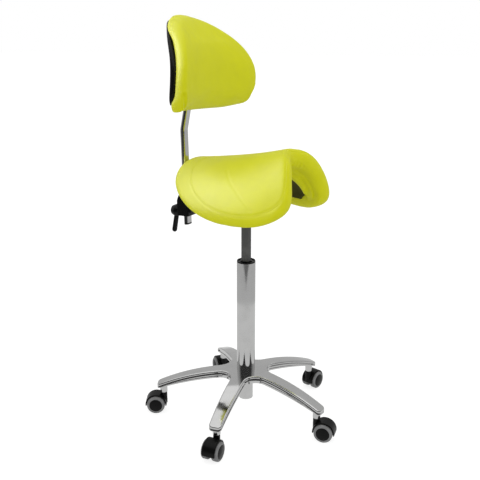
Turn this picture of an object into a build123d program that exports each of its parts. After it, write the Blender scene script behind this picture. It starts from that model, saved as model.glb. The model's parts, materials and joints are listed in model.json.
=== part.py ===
from build123d import *
import os
from math import cos, radians, sin, sqrt

# Saddle stool with a backrest on a five-arm caster base. Sizes are millimetres.
# The origin is on the floor under the column, +Z is up and the sitter faces -Y.

# Clearances
RUNNING_GAP = 0.05
SEATED_GAP = 0.05
SLIDE_GAP = 0.1
SOFT_GAP = 0.5
PAD_GAP = 1.5
SHELL_GAP = 0.9
STOP_GAP = 0.3

# Twin-wheel casters
WHEEL_DIAMETER = 50.0
WHEEL_WIDTH = 17.0
WHEEL_SIDE_GAP = 0.6
TYRE_DEPTH = 7.0
TYRE_EDGE_RADIUS = 4.0
CAP_RIM = 1.5
CAP_DOME = 2.0
AXLE_DIAMETER = 6.0
AXLE_GRIP = 12.0
AXLE_BOSS_DIAMETER = 16.0
CASTER_TRAIL = 22.0
HOOD_WEB = 10.0
HOOD_WIDTH = 36.0
HOOD_WALL = 3.0
HOOD_GAP = 1.5
HOOD_SKIRT = 3.0
HOOD_EDGE_RADIUS = 2.0
HOOD_SOCKET_DIAMETER = 18.0
HOOD_SOCKET_DEPTH = 16.0
CASTER_HEIGHT = 60.0
CASTER_HEADINGS = (120.0, 185.0, 281.0, 349.0, 50.0)
STEM_DIAMETER = 11.0
STEM_GRIP = 20.0
STEM_COLLAR_DIAMETER = 17.0
STEM_COLLAR = 2.0
PIVOT_DIAMETER = 8.0

# Five-arm base casting
FIRST_ARM_ANGLE = 119.0
ARM_TIP_RADIUS = 247.0
ARM_TIP_WIDTH = 33.0
ARM_ROOT_WIDTH = 42.0
ARM_TIP_CORNER = 10.0
ARM_WEB_RADIUS = 36.0
ARM_MID_RADIUS = 150.0
ARM_TIP_DEPTH = 12.0
ARM_MID_DEPTH = 19.0
ARM_ROOT_DEPTH = 18.0
ARM_MID_RISE = 33.0
HUB_RISE = 48.0
HUB_FLAT_DIAMETER = 60.0
ARM_TOP_FILLET = 3.5
PROFILE_OVERRUN = 2.0
RECESS_DEPTH = 2.5
RECESS_TOP_DROP = 5.5
RECESS_FOOT = 4.0
RECESS_START_RADIUS = 68.0
RECESS_END_MARGIN = 15.0
CASTING_WALL = 6.5
CASTING_ROOF = 5.0
POCKET_TIP_MARGIN = 35.0
HUB_BARREL_DIAMETER = 58.0
HUB_BARREL_HEIGHT = 36.0
POCKET_BARREL_GAP = 8.0
STEM_MARGIN = 17.0
STEM_BOSS_DIAMETER = 20.0
STEM_BOSS_DROP = 14.0

# Gas spring column
TUBE_DIAMETER = 50.0
TUBE_BORE = 40.4
TUBE_TAPER = 1.8
TUBE_IN_HUB = 36.0
TUBE_ABOVE_HUB = 308.0
TUBE_TAIL_DIAMETER = 39.0
TUBE_TAIL_BORE = 31.0
TUBE_TAIL = 52.0
TUBE_FLOOR = 4.0
GUIDE_LENGTH = 90.0
GUIDE_FLANGE_DIAMETER = 49.0
GUIDE_FLANGE = 4.0
GUIDE_DISH_DEPTH = 2.4
GUIDE_DISH_INNER = 32.0
GUIDE_DISH_OUTER = 45.0
CYLINDER_DIAMETER = 26.0
CYLINDER_BORE = 22.0
CYLINDER_FOOT_WALL = 10.0
CYLINDER_HEAD_WALL = 16.0
CYLINDER_TAPER = 0.8
CYLINDER_SHOWING = 144.0
CYLINDER_IN_TUBE = 247.0
ROD_DIAMETER = 10.0
ROD_HEIGHT = 302.0
PISTON_LENGTH = 10.0
BEARING_RACE = 2.0
BEARING_RACE_DIAMETER = 28.0
BALL_DIAMETER = 4.0
BALL_COUNT = 10
BALL_CIRCLE = 20.0
SHOULDER_DIAMETER = 24.0
SHOULDER = 3.0
CLIP_DIAMETER = 18.0
CLIP = 1.6
ROD_TAIL = 3.0

# Seat mechanism
HOUSING_DIAMETER = 44.0
HOUSING_HEIGHT = 46.0
TAPER_GRIP = 26.0
BUTTON_DIAMETER = 8.0
BUTTON_SUNK = 10.0
BUTTON_STROKE = 4.2
BUTTON_STAND = 8.0
BUTTON_WELL_DIAMETER = 20.0
PLATE_THICKNESS = 4.0
PLATE_WIDTH = 92.0
PLATE_FRONT = 80.0
PLATE_REAR = 58.0
PLATE_CORNER = 12.0
PLATE_BOLT_MARGIN = 12.0
BOLT_DIAMETER = 6.0
BOLT_LENGTH = 14.0
BOLT_HEAD_DIAMETER = 10.0
BOLT_HEAD = 4.0
BLOCK_MARGIN = 5.0
LEVER_DIAMETER = 8.0
LEVER_EYE_DIAMETER = 11.0
LEVER_PIVOT_REACH = 32.0
LEVER_NOSE = 3.0
LEVER_KNEE = 10.0
LEVER_REACH = 54.0
LEVER_DROOP = 16.0
LEVER_BEND_RADIUS = 14.0
LEVER_SLOT_GAP = 1.0
GRIP_LENGTH = 30.0
GRIP_DIAMETER = 14.0
GRIP_EDGE = 4.0
GRIP_END_WALL = 4.0
EAR_THICKNESS = 4.0
EAR_HEIGHT = 14.0
EAR_OVERHANG = 6.0
PIVOT_PIN_DIAMETER = 5.0

# Saddle seat, drawn in planes that fan out about a line under the ridge
FAN_AXIS_DROP = 51.0
FLAP_ANGLE = 91.7
FLAP_ROUND_ANGLE = 79.0
FLAP_CENTRE = 71.0
FLAP_REAR_POWER = 3.6
FLAP_FRONT_POWER = 5.8
SEAT_REAR = 172.0
POMMEL_FRONT = 131.0
FLAP_FRONT = 193.0
RIDGE_RADIUS = 142.0
SIDE_RADIUS = 179.0
CANTLE_RADIUS = 124.0
FRONT_ARCH_RADIUS = 146.0
POMMEL_RISE = 30.0
POMMEL_SHARPNESS = 4
FLAP_FLARE = 5.0
FLAP_FLARE_SHARPNESS = 8
FRONT_STATION = 150.0
CUSHION_THICKNESS = 48.0
CUSHION_RIM = 4.0
EDGE_BULGE = 0.44
SHELL_THICKNESS = 9.0
SHELL_INSET = 52.0
FAN_SHARES = (0.0, 0.22, 0.43, 0.61, 0.76, 0.88, 0.955, 0.985, 0.997)
SHELL_FAN_COUNT = 6
BLOCK_FAN_COUNT = 4
BLOCK_ROOT_DROP = 100.0

# Backrest bar, clamp and lever
BAR_SETBACK = 185.0
BAR_WIDTH = 26.0
BAR_DEPTH = 13.0
BAR_WALL = 2.0
BAR_LEAN = 1.5
BAR_BELOW_CLAMP = 23.0
BAR_BEND_ABOVE_CLAMP = 175.0
BAR_UPPER_LEAN = 12.0
BAR_UPPER_LENGTH = 136.0
BAR_BEND_RADIUS = 40.0
PLUG_CAP = 4.0
PLUG_SPIGOT = 14.0
CLAMP_HEIGHT = 56.0
CLAMP_WIDTH = 50.0
CLAMP_WALL = 12.0
CLAMP_EDGE = 4.0
CLAMP_SLOPE = 8.0
CLAMP_SLOPE_HEIGHT = 18.0
CLAMP_DROP = 41.0
STUD_DIAMETER = 8.0
STUD_DROP = 20.0
STUD_IN_HUB = 16.0
LEVER_HUB_NECK_DIAMETER = 24.0
LEVER_HUB_DIAMETER = 36.0
LEVER_HUB_CROWN_DIAMETER = 25.0
LEVER_HUB_CONE = 15.0
LEVER_HUB_LENGTH = 29.0
LEVER_HUB_EDGE = 3.0
LEVER_HUB_GAP = 0.8
HANDLE_LENGTH = 57.0
HANDLE_ROOT_DIAMETER = 13.0
HANDLE_TIP_DIAMETER = 14.0
HANDLE_SPLAY = 12.0
SUPPORT_WIDTH = 40.0
SUPPORT_THICKNESS = 6.0
SUPPORT_START_GAP = 2.0
SUPPORT_KNEE = 112.0
SUPPORT_TAIL_TOP = 6.0
SUPPORT_TAIL = 40.0
SUPPORT_BEND_RADIUS = 14.0

# Backrest pad, shell and bracket
PAD_ABOVE_BEND = 63.0
PAD_HEIGHT = 230.0
PAD_WIDEST = 63.0
PAD_HALF_WIDTH = 179.0
PAD_FOOT_HALF_WIDTH = 151.0
PAD_THICKNESS = 46.0
PAD_RIM = 9.0
PAD_RIM_BELOW = 40.0
PAD_RIM_ABOVE = 60.0
PAD_HOLLOW = 10.0
PAD_HOLLOW_HEIGHT = 76.0
PAD_HOLLOW_REACH = 115.0
PAD_CURVE_RADIUS = 440.0
PAD_WAIST = 87.0
PAD_UPPER_LEAN = 65.0
PAD_LOWER_LEAN = 13.0
PAD_OUTLINE_POWER = 1.95
PAD_SHARES = (0.0, 0.02, 0.06, 0.13, 0.22, 0.33, 0.46, 0.6, 0.73, 0.84, 0.92, 0.965, 0.985, 0.996)
BACK_SHELL_SHARES = PAD_SHARES[2:11]
BACK_SHELL_THICKNESS = 8.0
BACK_SHELL_INSET = 17.0
BRACKET_THICKNESS = 4.0
BRACKET_WIDTH = 76.0
BRACKET_HEIGHT = 60.0
BRACKET_CORNER = 8.0
BRACKET_ABOVE_BEND = 101.0
BOSS_DEPTH = 6.0
BOSS_ROOT = 5.0
SCREW_DIAMETER = 5.0
SCREW_LENGTH = 13.0
SCREW_HEAD_DIAMETER = 10.0
SCREW_HEAD = 3.0
SCREW_MARGIN = 8.0

# Places that follow from the sizes above
ARM_COUNT = len(CASTER_HEADINGS)
WHEEL_RADIUS = WHEEL_DIAMETER / 2
CORE_RADIUS = WHEEL_RADIUS - TYRE_DEPTH
HOOD_TOP = CASTER_HEIGHT - STEM_COLLAR - RUNNING_GAP
STEM_RADIUS = ARM_TIP_RADIUS - STEM_MARGIN
ARM_TIP_TOP = CASTER_HEIGHT + STEM_BOSS_DROP + ARM_TIP_DEPTH
HUB_TOP = ARM_TIP_TOP + HUB_RISE
TUBE_SHOULDER = HUB_TOP - TUBE_IN_HUB
TUBE_BOTTOM = TUBE_SHOULDER - TUBE_TAIL
TUBE_TOP = HUB_TOP + TUBE_ABOVE_HUB
GUIDE_TOP = TUBE_TOP + GUIDE_FLANGE
BEARING_BOTTOM = TUBE_BOTTOM + TUBE_FLOOR
SHOULDER_BOTTOM = BEARING_BOTTOM + 2 * BEARING_RACE + BALL_DIAMETER
HOUSING_BOTTOM = GUIDE_TOP + CYLINDER_SHOWING
HOUSING_TOP = HOUSING_BOTTOM + HOUSING_HEIGHT
PLATE_TOP = HOUSING_TOP + PLATE_THICKNESS
CYLINDER_TOP = HOUSING_BOTTOM + TAPER_GRIP
CYLINDER_BOTTOM = TUBE_TOP - CYLINDER_IN_TUBE
BUTTON_TOP = CYLINDER_TOP + BUTTON_STAND
LEVER_Z = BUTTON_TOP + STOP_GAP + LEVER_DIAMETER / 2
LEVER_SIDE = LEVER_DIAMETER / 2 + LEVER_SLOT_GAP
FAN_AXIS_Z = HOUSING_TOP - FAN_AXIS_DROP
CLAMP_DEPTH = BAR_DEPTH + 2 * CLAMP_WALL
CLAMP_Z = HOUSING_BOTTOM - CLAMP_DROP + CLAMP_HEIGHT / 2

UPRIGHT = (Align.CENTER, Align.CENTER, Align.MIN)


def tapered_rod(bottom_diameter, top_diameter, height):
    """Round tapered rod that stands on its lower end."""
    return Cone(bottom_diameter / 2, top_diameter / 2, height, align=UPRIGHT)


def rod(diameter, height):
    """Straight round rod that stands on its lower end."""
    return Cylinder(diameter / 2, height, align=UPRIGHT)


def ring(outer_diameter, inner_diameter, height):
    """Flat round ring that stands on its lower face."""
    return rod(outer_diameter, height) - rod(inner_diameter, height)


def parabola(points, place):
    """Height at a place on the parabola through three points."""
    (x0, z0), (x1, z1), (x2, z2) = points
    first = z0 * (place - x1) * (place - x2) / ((x0 - x1) * (x0 - x2))
    second = z1 * (place - x0) * (place - x2) / ((x1 - x0) * (x1 - x2))
    third = z2 * (place - x0) * (place - x1) / ((x2 - x0) * (x2 - x1))
    return first + second + third


# Base casting


def arm_angles():
    """Headings of the base arms, in degrees."""
    return [FIRST_ARM_ANGLE + 360 / ARM_COUNT * index for index in range(ARM_COUNT)]


def stem_places():
    """Caster stem axes at floor height, one for each arm."""
    return [Rot(0, 0, angle) * Pos(STEM_RADIUS, 0, 0) for angle in arm_angles()]


def by_distance(shape):
    """Corners of a plan outline, the nearest to the column first."""
    return sorted(shape.vertices(), key=lambda corner: Vector(*corner).length)


def base_plan():
    """Plan outline of the base: tapered arms with wide webs between them."""
    reach = ARM_TIP_RADIUS + PROFILE_OVERRUN
    root = ARM_ROOT_WIDTH / 2
    tip = ARM_TIP_WIDTH / 2
    arm = Polygon((0, -root), (reach, -tip), (reach, tip), (0, root), align=None)
    star = Sketch() + [Rot(0, 0, angle) * arm for angle in arm_angles()]
    star &= Circle(ARM_TIP_RADIUS)
    star = fillet(by_distance(star)[:ARM_COUNT], ARM_WEB_RADIUS)
    return fillet(by_distance(star)[-2 * ARM_COUNT:], ARM_TIP_CORNER)


def crown_height(radius, drops=(0, 0, 0)):
    """Height of the arms' crown at a radius, lowered by drops at hub, middle and tip."""
    hub = (HUB_FLAT_DIAMETER / 2, HUB_TOP - drops[0])
    middle = (ARM_MID_RADIUS, ARM_TIP_TOP + ARM_MID_RISE - drops[1])
    tip = (ARM_TIP_RADIUS, ARM_TIP_TOP - drops[2])
    return parabola((hub, middle, tip), radius)


def crown_band(start, end, top_drops, foot_drops):
    """Ring between two lowered crown lines, from one radius to another."""
    middle = (start + end) / 2
    top = [(radius, crown_height(radius, top_drops)) for radius in (start, middle, end)]
    foot = [(radius, crown_height(radius, foot_drops)) for radius in (end, middle, start)]
    outline = Wire([
        ThreePointArc(*top),
        Line(top[-1], foot[0]),
        ThreePointArc(*foot),
        Line(foot[-1], top[0]),
    ])
    return revolve(Plane.XZ * Face(outline), Axis.Z)


def is_crown_edge(edge):
    """True for an edge between the crown and an arm's side."""
    middle = edge.position_at(0.5)
    radius = sqrt(middle.X**2 + middle.Y**2)
    if radius < HUB_FLAT_DIAMETER / 2 + RECESS_DEPTH:
        return False
    return abs(middle.Z - crown_height(radius)) < ARM_TIP_DEPTH / 4


def base_casting():
    """Polished five-arm base with side recesses, a hollow underside and a tapered hub."""
    level = (0, 0, 0)
    depths = (ARM_ROOT_DEPTH, ARM_MID_DEPTH, ARM_TIP_DEPTH)
    plan = base_plan()
    reach = ARM_TIP_RADIUS + PROFILE_OVERRUN
    crown = crown_band(HUB_FLAT_DIAMETER / 2, reach, level, depths)
    crown += Pos(0, 0, HUB_TOP - ARM_ROOT_DEPTH) * rod(HUB_FLAT_DIAMETER, ARM_ROOT_DEPTH)
    body = extrude(plan, HUB_TOP) & crown
    body = fillet(body.edges().filter_by(is_crown_edge), ARM_TOP_FILLET)

    recess_top = (RECESS_TOP_DROP,) * 3
    recess_foot = [depth - RECESS_FOOT for depth in depths]
    recess_end = ARM_TIP_RADIUS - RECESS_END_MARGIN
    sides = extrude(plan, HUB_TOP) - extrude(offset(plan, -RECESS_DEPTH), HUB_TOP)
    body -= sides & crown_band(RECESS_START_RADIUS, recess_end, recess_top, recess_foot)

    pocket_start = HUB_BARREL_DIAMETER / 2 + POCKET_BARREL_GAP
    pocket_end = ARM_TIP_RADIUS - POCKET_TIP_MARGIN
    roof = (CASTING_ROOF,) * 3
    floor = [2 * depth for depth in depths]
    pocket = extrude(offset(plan, -CASTING_WALL), HUB_TOP)
    body -= pocket & crown_band(pocket_start, pocket_end, roof, floor)

    body += Pos(0, 0, HUB_TOP - HUB_BARREL_HEIGHT) * rod(HUB_BARREL_DIAMETER, HUB_BARREL_HEIGHT)
    boss_height = crown_height(STEM_RADIUS) - ARM_TIP_DEPTH / 2 - CASTER_HEIGHT
    for place in stem_places():
        foot = place * Pos(0, 0, CASTER_HEIGHT)
        body += foot * rod(STEM_BOSS_DIAMETER, boss_height)
        body -= foot * rod(STEM_DIAMETER + 2 * SEATED_GAP, STEM_GRIP)
    return body - tube_outside(SEATED_GAP)


# Casters


def axle_frame():
    """Middle of a caster's axle, Z along the axle to the caster's left."""
    return Pos(CASTER_TRAIL, 0, WHEEL_RADIUS) * Rot(-90, 0, 0)


def caster_stems():
    """Five steel stems: a grip in the arm, a collar and a pivot in the hood."""
    pivot_bottom = HOOD_TOP - HOOD_SOCKET_DEPTH + STOP_GAP
    stem = Pos(0, 0, CASTER_HEIGHT) * rod(STEM_DIAMETER, STEM_GRIP - STOP_GAP)
    stem += Pos(0, 0, CASTER_HEIGHT - STEM_COLLAR) * rod(STEM_COLLAR_DIAMETER, STEM_COLLAR)
    stem += Pos(0, 0, pivot_bottom) * rod(PIVOT_DIAMETER, CASTER_HEIGHT - pivot_bottom)
    return Compound(children=[place * stem for place in stem_places()])


def caster_hood():
    """Hood over both wheels, with the web between them and the stem's socket."""
    inside = WHEEL_RADIUS + HOOD_GAP
    outside = inside + HOOD_WALL
    drum = Cylinder(outside, HOOD_WIDTH)
    drum = axle_frame() * fillet(drum.edges(), HOOD_EDGE_RADIUS)
    above = Box(4 * outside, 2 * HOOD_WIDTH, 2 * outside, align=UPRIGHT)
    hood = drum & (Pos(CASTER_TRAIL, 0, WHEEL_RADIUS - HOOD_SKIRT) * above)
    hood += axle_frame() * Cylinder(AXLE_BOSS_DIAMETER / 2, HOOD_WEB)
    hood += Pos(0, 0, WHEEL_RADIUS) * rod(HOOD_SOCKET_DIAMETER, HOOD_TOP - WHEEL_RADIUS)
    wells = Cylinder(inside, 2 * HOOD_WIDTH) - Cylinder(inside, HOOD_WEB)
    hood -= axle_frame() * wells
    hood -= axle_frame() * Cylinder(AXLE_DIAMETER / 2 + SEATED_GAP, HOOD_WEB)
    socket = rod(PIVOT_DIAMETER + 2 * RUNNING_GAP, HOOD_SOCKET_DEPTH)
    return hood - Pos(0, 0, HOOD_TOP - HOOD_SOCKET_DEPTH) * socket


def caster_axle():
    """Plain axle through the hood's web into both wheels."""
    return axle_frame() * Cylinder(AXLE_DIAMETER / 2, HOOD_WEB + 2 * (WHEEL_SIDE_GAP + AXLE_GRIP))


def wheel_core():
    """Wheel core standing on its inner face, with a domed cap over a blind bore."""
    cap_radius = CORE_RADIUS - CAP_RIM
    dome_radius = (cap_radius**2 + CAP_DOME**2) / (2 * CAP_DOME)
    dome = rod(2 * cap_radius, WHEEL_WIDTH + 2 * CAP_DOME)
    dome &= Pos(0, 0, WHEEL_WIDTH + CAP_DOME - dome_radius) * Sphere(dome_radius)
    core = rod(2 * CORE_RADIUS, WHEEL_WIDTH) + dome
    return core - rod(AXLE_DIAMETER + 2 * RUNNING_GAP, AXLE_GRIP + STOP_GAP)


def wheel_tyre():
    """Soft tyre round the core, rounded at both edges of the tread."""
    section = Rectangle(TYRE_DEPTH, WHEEL_WIDTH, align=Align.MIN)
    section = fillet(section.vertices().group_by(Axis.X)[-1], TYRE_EDGE_RADIUS)
    inside = CORE_RADIUS + SEATED_GAP
    section &= Pos(SEATED_GAP, 0) * Rectangle(TYRE_DEPTH, WHEEL_WIDTH, align=Align.MIN)
    return revolve(Plane.XZ * Pos(inside - SEATED_GAP, 0) * section, Axis.Z)


def wheel_frames():
    """Inner face of each wheel of a caster, by side, Z pointing outwards."""
    face = HOOD_WEB / 2 + WHEEL_SIDE_GAP
    left = axle_frame() * Pos(0, 0, face)
    right = axle_frame() * Rot(180, 0, 0) * Pos(0, 0, face)
    return {"left": left, "right": right}


def caster_parts():
    """Hood, axle, cores and tyres of all casters, by node name."""
    hood = caster_hood()
    axle = caster_axle()
    core = wheel_core()
    tyre = wheel_tyre()
    parts = {}
    for index, place in enumerate(stem_places()):
        caster = Pos(*place.position) * Rot(0, 0, CASTER_HEADINGS[index])
        name = f"caster_{index + 1}"
        parts[f"{name}_hood"] = caster * hood
        parts[f"{name}_axle"] = caster * axle
        for side, frame in wheel_frames().items():
            parts[f"{name}_{side}_core"] = caster * frame * core
            parts[f"{name}_{side}_tyre"] = caster * frame * tyre
    return parts


# Gas spring column


def tube_outside(gap=0.0):
    """Outside of the column: a narrow tail, a taper in the hub and a straight tube."""
    head = TUBE_DIAMETER + 2 * gap
    outside = Pos(0, 0, TUBE_BOTTOM) * rod(TUBE_TAIL_DIAMETER + 2 * gap, TUBE_TAIL)
    outside += Pos(0, 0, TUBE_SHOULDER) * tapered_rod(head - TUBE_TAPER, head, TUBE_IN_HUB)
    return outside + Pos(0, 0, HUB_TOP) * rod(head, TUBE_ABOVE_HUB)


def column_tube():
    """Chromed column with a floor that carries the rod's bearing."""
    tube = tube_outside()
    bore_bottom = TUBE_SHOULDER + TUBE_FLOOR
    tube -= Pos(0, 0, bore_bottom) * rod(TUBE_BORE, TUBE_TOP - bore_bottom)
    tube -= Pos(0, 0, BEARING_BOTTOM) * rod(TUBE_TAIL_BORE, TUBE_TAIL)
    return tube - Pos(0, 0, TUBE_BOTTOM) * rod(ROD_DIAMETER + 2 * RUNNING_GAP, TUBE_FLOOR)


def column_guide():
    """Guide sleeve in the column's mouth, with a dished flange on the rim."""
    guide = Pos(0, 0, TUBE_TOP - GUIDE_LENGTH) * rod(TUBE_BORE - 2 * SEATED_GAP, GUIDE_LENGTH)
    guide += Pos(0, 0, TUBE_TOP) * rod(GUIDE_FLANGE_DIAMETER, GUIDE_FLANGE)
    dish = ring(GUIDE_DISH_OUTER, GUIDE_DISH_INNER, GUIDE_DISH_DEPTH)
    guide -= Pos(0, 0, GUIDE_TOP - GUIDE_DISH_DEPTH) * dish
    slide = rod(CYLINDER_DIAMETER + 2 * RUNNING_GAP, GUIDE_LENGTH + GUIDE_FLANGE)
    return guide - Pos(0, 0, TUBE_TOP - GUIDE_LENGTH) * slide


def thrust_bearing():
    """Two races and a circle of balls under the piston rod's shoulder."""
    race = ring(BEARING_RACE_DIAMETER, ROD_DIAMETER + 2 * RUNNING_GAP, BEARING_RACE)
    ball = Sphere(BALL_DIAMETER / 2 - RUNNING_GAP)
    ball_z = BEARING_BOTTOM + BEARING_RACE + BALL_DIAMETER / 2
    solids = [Pos(0, 0, BEARING_BOTTOM) * race, Pos(0, 0, SHOULDER_BOTTOM - BEARING_RACE) * race]
    for index in range(BALL_COUNT):
        solids.append(Rot(0, 0, 360 / BALL_COUNT * index) * Pos(BALL_CIRCLE / 2, 0, ball_z) * ball)
    return Compound(children=solids)


def piston_rod():
    """Rod that turns on the column's floor and carries the piston."""
    tail = TUBE_BOTTOM - ROD_TAIL
    shaft = Pos(0, 0, tail) * rod(ROD_DIAMETER, ROD_TAIL + ROD_HEIGHT)
    shaft += Pos(0, 0, SHOULDER_BOTTOM) * rod(SHOULDER_DIAMETER, SHOULDER)
    piston = rod(CYLINDER_BORE - 2 * RUNNING_GAP, PISTON_LENGTH)
    return shaft + Pos(0, 0, TUBE_BOTTOM + ROD_HEIGHT) * piston


def rod_clip():
    """Clip on the rod's tail, under the column's floor."""
    clip = ring(CLIP_DIAMETER, ROD_DIAMETER + 2 * SEATED_GAP, CLIP)
    return Pos(0, 0, TUBE_BOTTOM - RUNNING_GAP - CLIP) * clip


def cylinder_taper(gap=0.0):
    """Taper at the head of the pressure cylinder."""
    bottom = CYLINDER_DIAMETER + 2 * gap
    return Pos(0, 0, HOUSING_BOTTOM) * tapered_rod(bottom, bottom - CYLINDER_TAPER, TAPER_GRIP)


def pressure_cylinder():
    """Hollow cylinder that rises out of the column and carries the seat."""
    body = Pos(0, 0, CYLINDER_BOTTOM) * rod(CYLINDER_DIAMETER, HOUSING_BOTTOM - CYLINDER_BOTTOM)
    body += cylinder_taper()
    chamber_bottom = CYLINDER_BOTTOM + CYLINDER_FOOT_WALL
    chamber_top = CYLINDER_TOP - CYLINDER_HEAD_WALL
    body -= Pos(0, 0, chamber_bottom) * rod(CYLINDER_BORE, chamber_top - chamber_bottom)
    body -= Pos(0, 0, CYLINDER_BOTTOM) * rod(ROD_DIAMETER + 2 * RUNNING_GAP, CYLINDER_FOOT_WALL)
    return body - Pos(0, 0, chamber_top) * rod(BUTTON_DIAMETER + 2 * RUNNING_GAP, CYLINDER_HEAD_WALL)


def release_button():
    """Valve pin on top of the pressure cylinder."""
    return Pos(0, 0, CYLINDER_TOP - BUTTON_SUNK) * rod(BUTTON_DIAMETER, BUTTON_SUNK + BUTTON_STAND)


# Seat mechanism


def bolt_places():
    """Corners of the plate's bolt pattern."""
    side = PLATE_WIDTH / 2 - PLATE_BOLT_MARGIN
    front = PLATE_BOLT_MARGIN - PLATE_FRONT
    rear = PLATE_REAR - PLATE_BOLT_MARGIN
    return [Pos(x, y, 0) for x in (-side, side) for y in (front, rear)]


def plate_outline(margin):
    """Plan of the mounting plate, drawn in by a margin."""
    length = PLATE_FRONT + PLATE_REAR - 2 * margin
    outline = RectangleRounded(PLATE_WIDTH - 2 * margin, length, PLATE_CORNER - margin)
    return Pos(0, (PLATE_REAR - PLATE_FRONT) / 2) * outline


def mounting_plate():
    """Steel plate between the mechanism and the seat block."""
    plate = Pos(0, 0, HOUSING_TOP) * extrude(plate_outline(0), PLATE_THICKNESS)
    hole = Pos(0, 0, HOUSING_TOP) * rod(BOLT_DIAMETER + 2 * SEATED_GAP, PLATE_THICKNESS)
    for place in bolt_places():
        plate -= place * hole
    return plate


def plate_bolts():
    """Bolts through the plate into the seat block."""
    bolt = Pos(0, 0, HOUSING_TOP) * rod(BOLT_DIAMETER, BOLT_LENGTH)
    bolt += Pos(0, 0, HOUSING_TOP - BOLT_HEAD) * rod(BOLT_HEAD_DIAMETER, BOLT_HEAD)
    return Compound(children=[place * bolt for place in bolt_places()])


def pivot_frame():
    """Middle of the lever's pivot pin, Z along the pin."""
    return Pos(-LEVER_PIVOT_REACH, 0, LEVER_Z) * Rot(90, 0, 0)


def cone_housing():
    """Tapered socket for the cylinder, with a lever slot and two pivot ears."""
    body = Pos(0, 0, HOUSING_BOTTOM) * rod(HOUSING_DIAMETER, HOUSING_HEIGHT)
    ear_length = LEVER_PIVOT_REACH + EAR_OVERHANG
    ears_width = 2 * (LEVER_SIDE + EAR_THICKNESS)
    hanging = (Align.MAX, Align.CENTER, Align.MAX)
    ears = Box(ear_length, ears_width, EAR_HEIGHT, align=hanging)
    body += Pos(0, 0, HOUSING_TOP) * ears
    slot_bottom = BUTTON_TOP - BUTTON_STROKE - LEVER_SLOT_GAP
    slot_height = HOUSING_TOP - slot_bottom
    standing = (Align.MAX, Align.CENTER, Align.MIN)
    slot = Box(2 * ear_length, 2 * LEVER_SIDE, slot_height, align=standing)
    body -= Pos(0, 0, slot_bottom) * slot
    well_height = HOUSING_TOP - CYLINDER_TOP
    body -= Pos(0, 0, CYLINDER_TOP) * rod(BUTTON_WELL_DIAMETER, well_height)
    body -= cylinder_taper(SEATED_GAP)
    return body - pivot_frame() * Cylinder(PIVOT_PIN_DIAMETER / 2 + SEATED_GAP, 2 * HOUSING_DIAMETER)


def lever_pin():
    """Pivot pin of the height lever, between the two ears."""
    return pivot_frame() * Cylinder(PIVOT_PIN_DIAMETER / 2, 2 * (LEVER_SIDE + EAR_THICKNESS))


def lever_path():
    """Centre line of the height lever, from its nose to the tip of its grip."""
    nose = (LEVER_NOSE, 0, LEVER_Z)
    knee = (-LEVER_PIVOT_REACH - LEVER_KNEE, 0, LEVER_Z)
    tip = (-LEVER_PIVOT_REACH - LEVER_REACH, 0, LEVER_Z - LEVER_DROOP)
    return FilletPolyline(nose, knee, tip, radius=LEVER_BEND_RADIUS)


def lever_rod():
    """Bent height lever with an eye on its pivot."""
    path = lever_path()
    body = sweep(Plane(path @ 0, z_dir=path % 0) * Circle(LEVER_DIAMETER / 2), path=path)
    body += pivot_frame() * Cylinder(LEVER_EYE_DIAMETER / 2, LEVER_DIAMETER)
    return body - pivot_frame() * Cylinder(PIVOT_PIN_DIAMETER / 2 + RUNNING_GAP, LEVER_DIAMETER)


def lever_grip():
    """Moulded grip pushed over the lever's outer end."""
    path = lever_path()
    tip = Plane(path @ 1, z_dir=path % 1)
    grip = rod(GRIP_DIAMETER, GRIP_LENGTH + GRIP_END_WALL)
    grip = fillet(grip.edges().group_by(Axis.Z)[-1], GRIP_EDGE)
    grip -= rod(LEVER_DIAMETER + 2 * SEATED_GAP, GRIP_LENGTH)
    return tip * Pos(0, 0, -GRIP_LENGTH) * grip


# Saddle seat


def fan_plane(angle):
    """Plane through the fan line: X to the rear, Y outwards at an angle from upright."""
    tilt = radians(angle)
    return Plane((0, 0, FAN_AXIS_Z), x_dir=(0, 1, 0), z_dir=(cos(tilt), 0, -sin(tilt)))


def saddle_radius(place, angle):
    """Distance of the seat's top from the fan line, at a place along the seat."""
    tilt = radians(angle)
    rear = (SEAT_REAR, CANTLE_RADIUS)
    middle = (0, RIDGE_RADIUS + (SIDE_RADIUS - RIDGE_RADIUS) * sin(tilt) ** 2)
    pommel = POMMEL_RISE * abs(cos(tilt)) ** POMMEL_SHARPNESS
    flare = FLAP_FLARE * abs(sin(tilt)) ** FLAP_FLARE_SHARPNESS
    front = (-FRONT_STATION, FRONT_ARCH_RADIUS + pommel + flare)
    return parabola((rear, middle, front), place)


def saddle_reach(angle):
    """Rear and front edge of the seat along one fan plane."""
    share = abs(angle) / FLAP_ANGLE
    rear = -FLAP_CENTRE + (SEAT_REAR + FLAP_CENTRE) * sqrt(1 - share**FLAP_REAR_POWER)
    front = POMMEL_FRONT + (FLAP_FRONT - POMMEL_FRONT) * sin(radians(90 * share))
    return rear, -FLAP_CENTRE - (front - FLAP_CENTRE) * sqrt(1 - share**FLAP_FRONT_POWER)


def saddle_section(angle, top_drop, thickness, inset):
    """Closed section of a saddle layer in one fan plane."""
    rear, front = saddle_reach(angle)
    bulge = min(EDGE_BULGE * thickness, (rear - front) / 4)
    rear -= inset
    front += inset
    stations = (rear - bulge, (rear + front) / 2, front + bulge)
    top = [(place, saddle_radius(place, angle) - top_drop) for place in stations]
    foot = [(place, height - thickness) for place, height in reversed(top)]
    rear_nose = (rear, top[0][1] - thickness / 2)
    front_nose = (front, top[-1][1] - thickness / 2)
    outline = Wire([
        ThreePointArc(*top),
        ThreePointArc(top[-1], front_nose, foot[0]),
        ThreePointArc(*foot),
        ThreePointArc(foot[-1], rear_nose, top[0]),
    ])
    return fan_plane(angle) * outline


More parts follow.
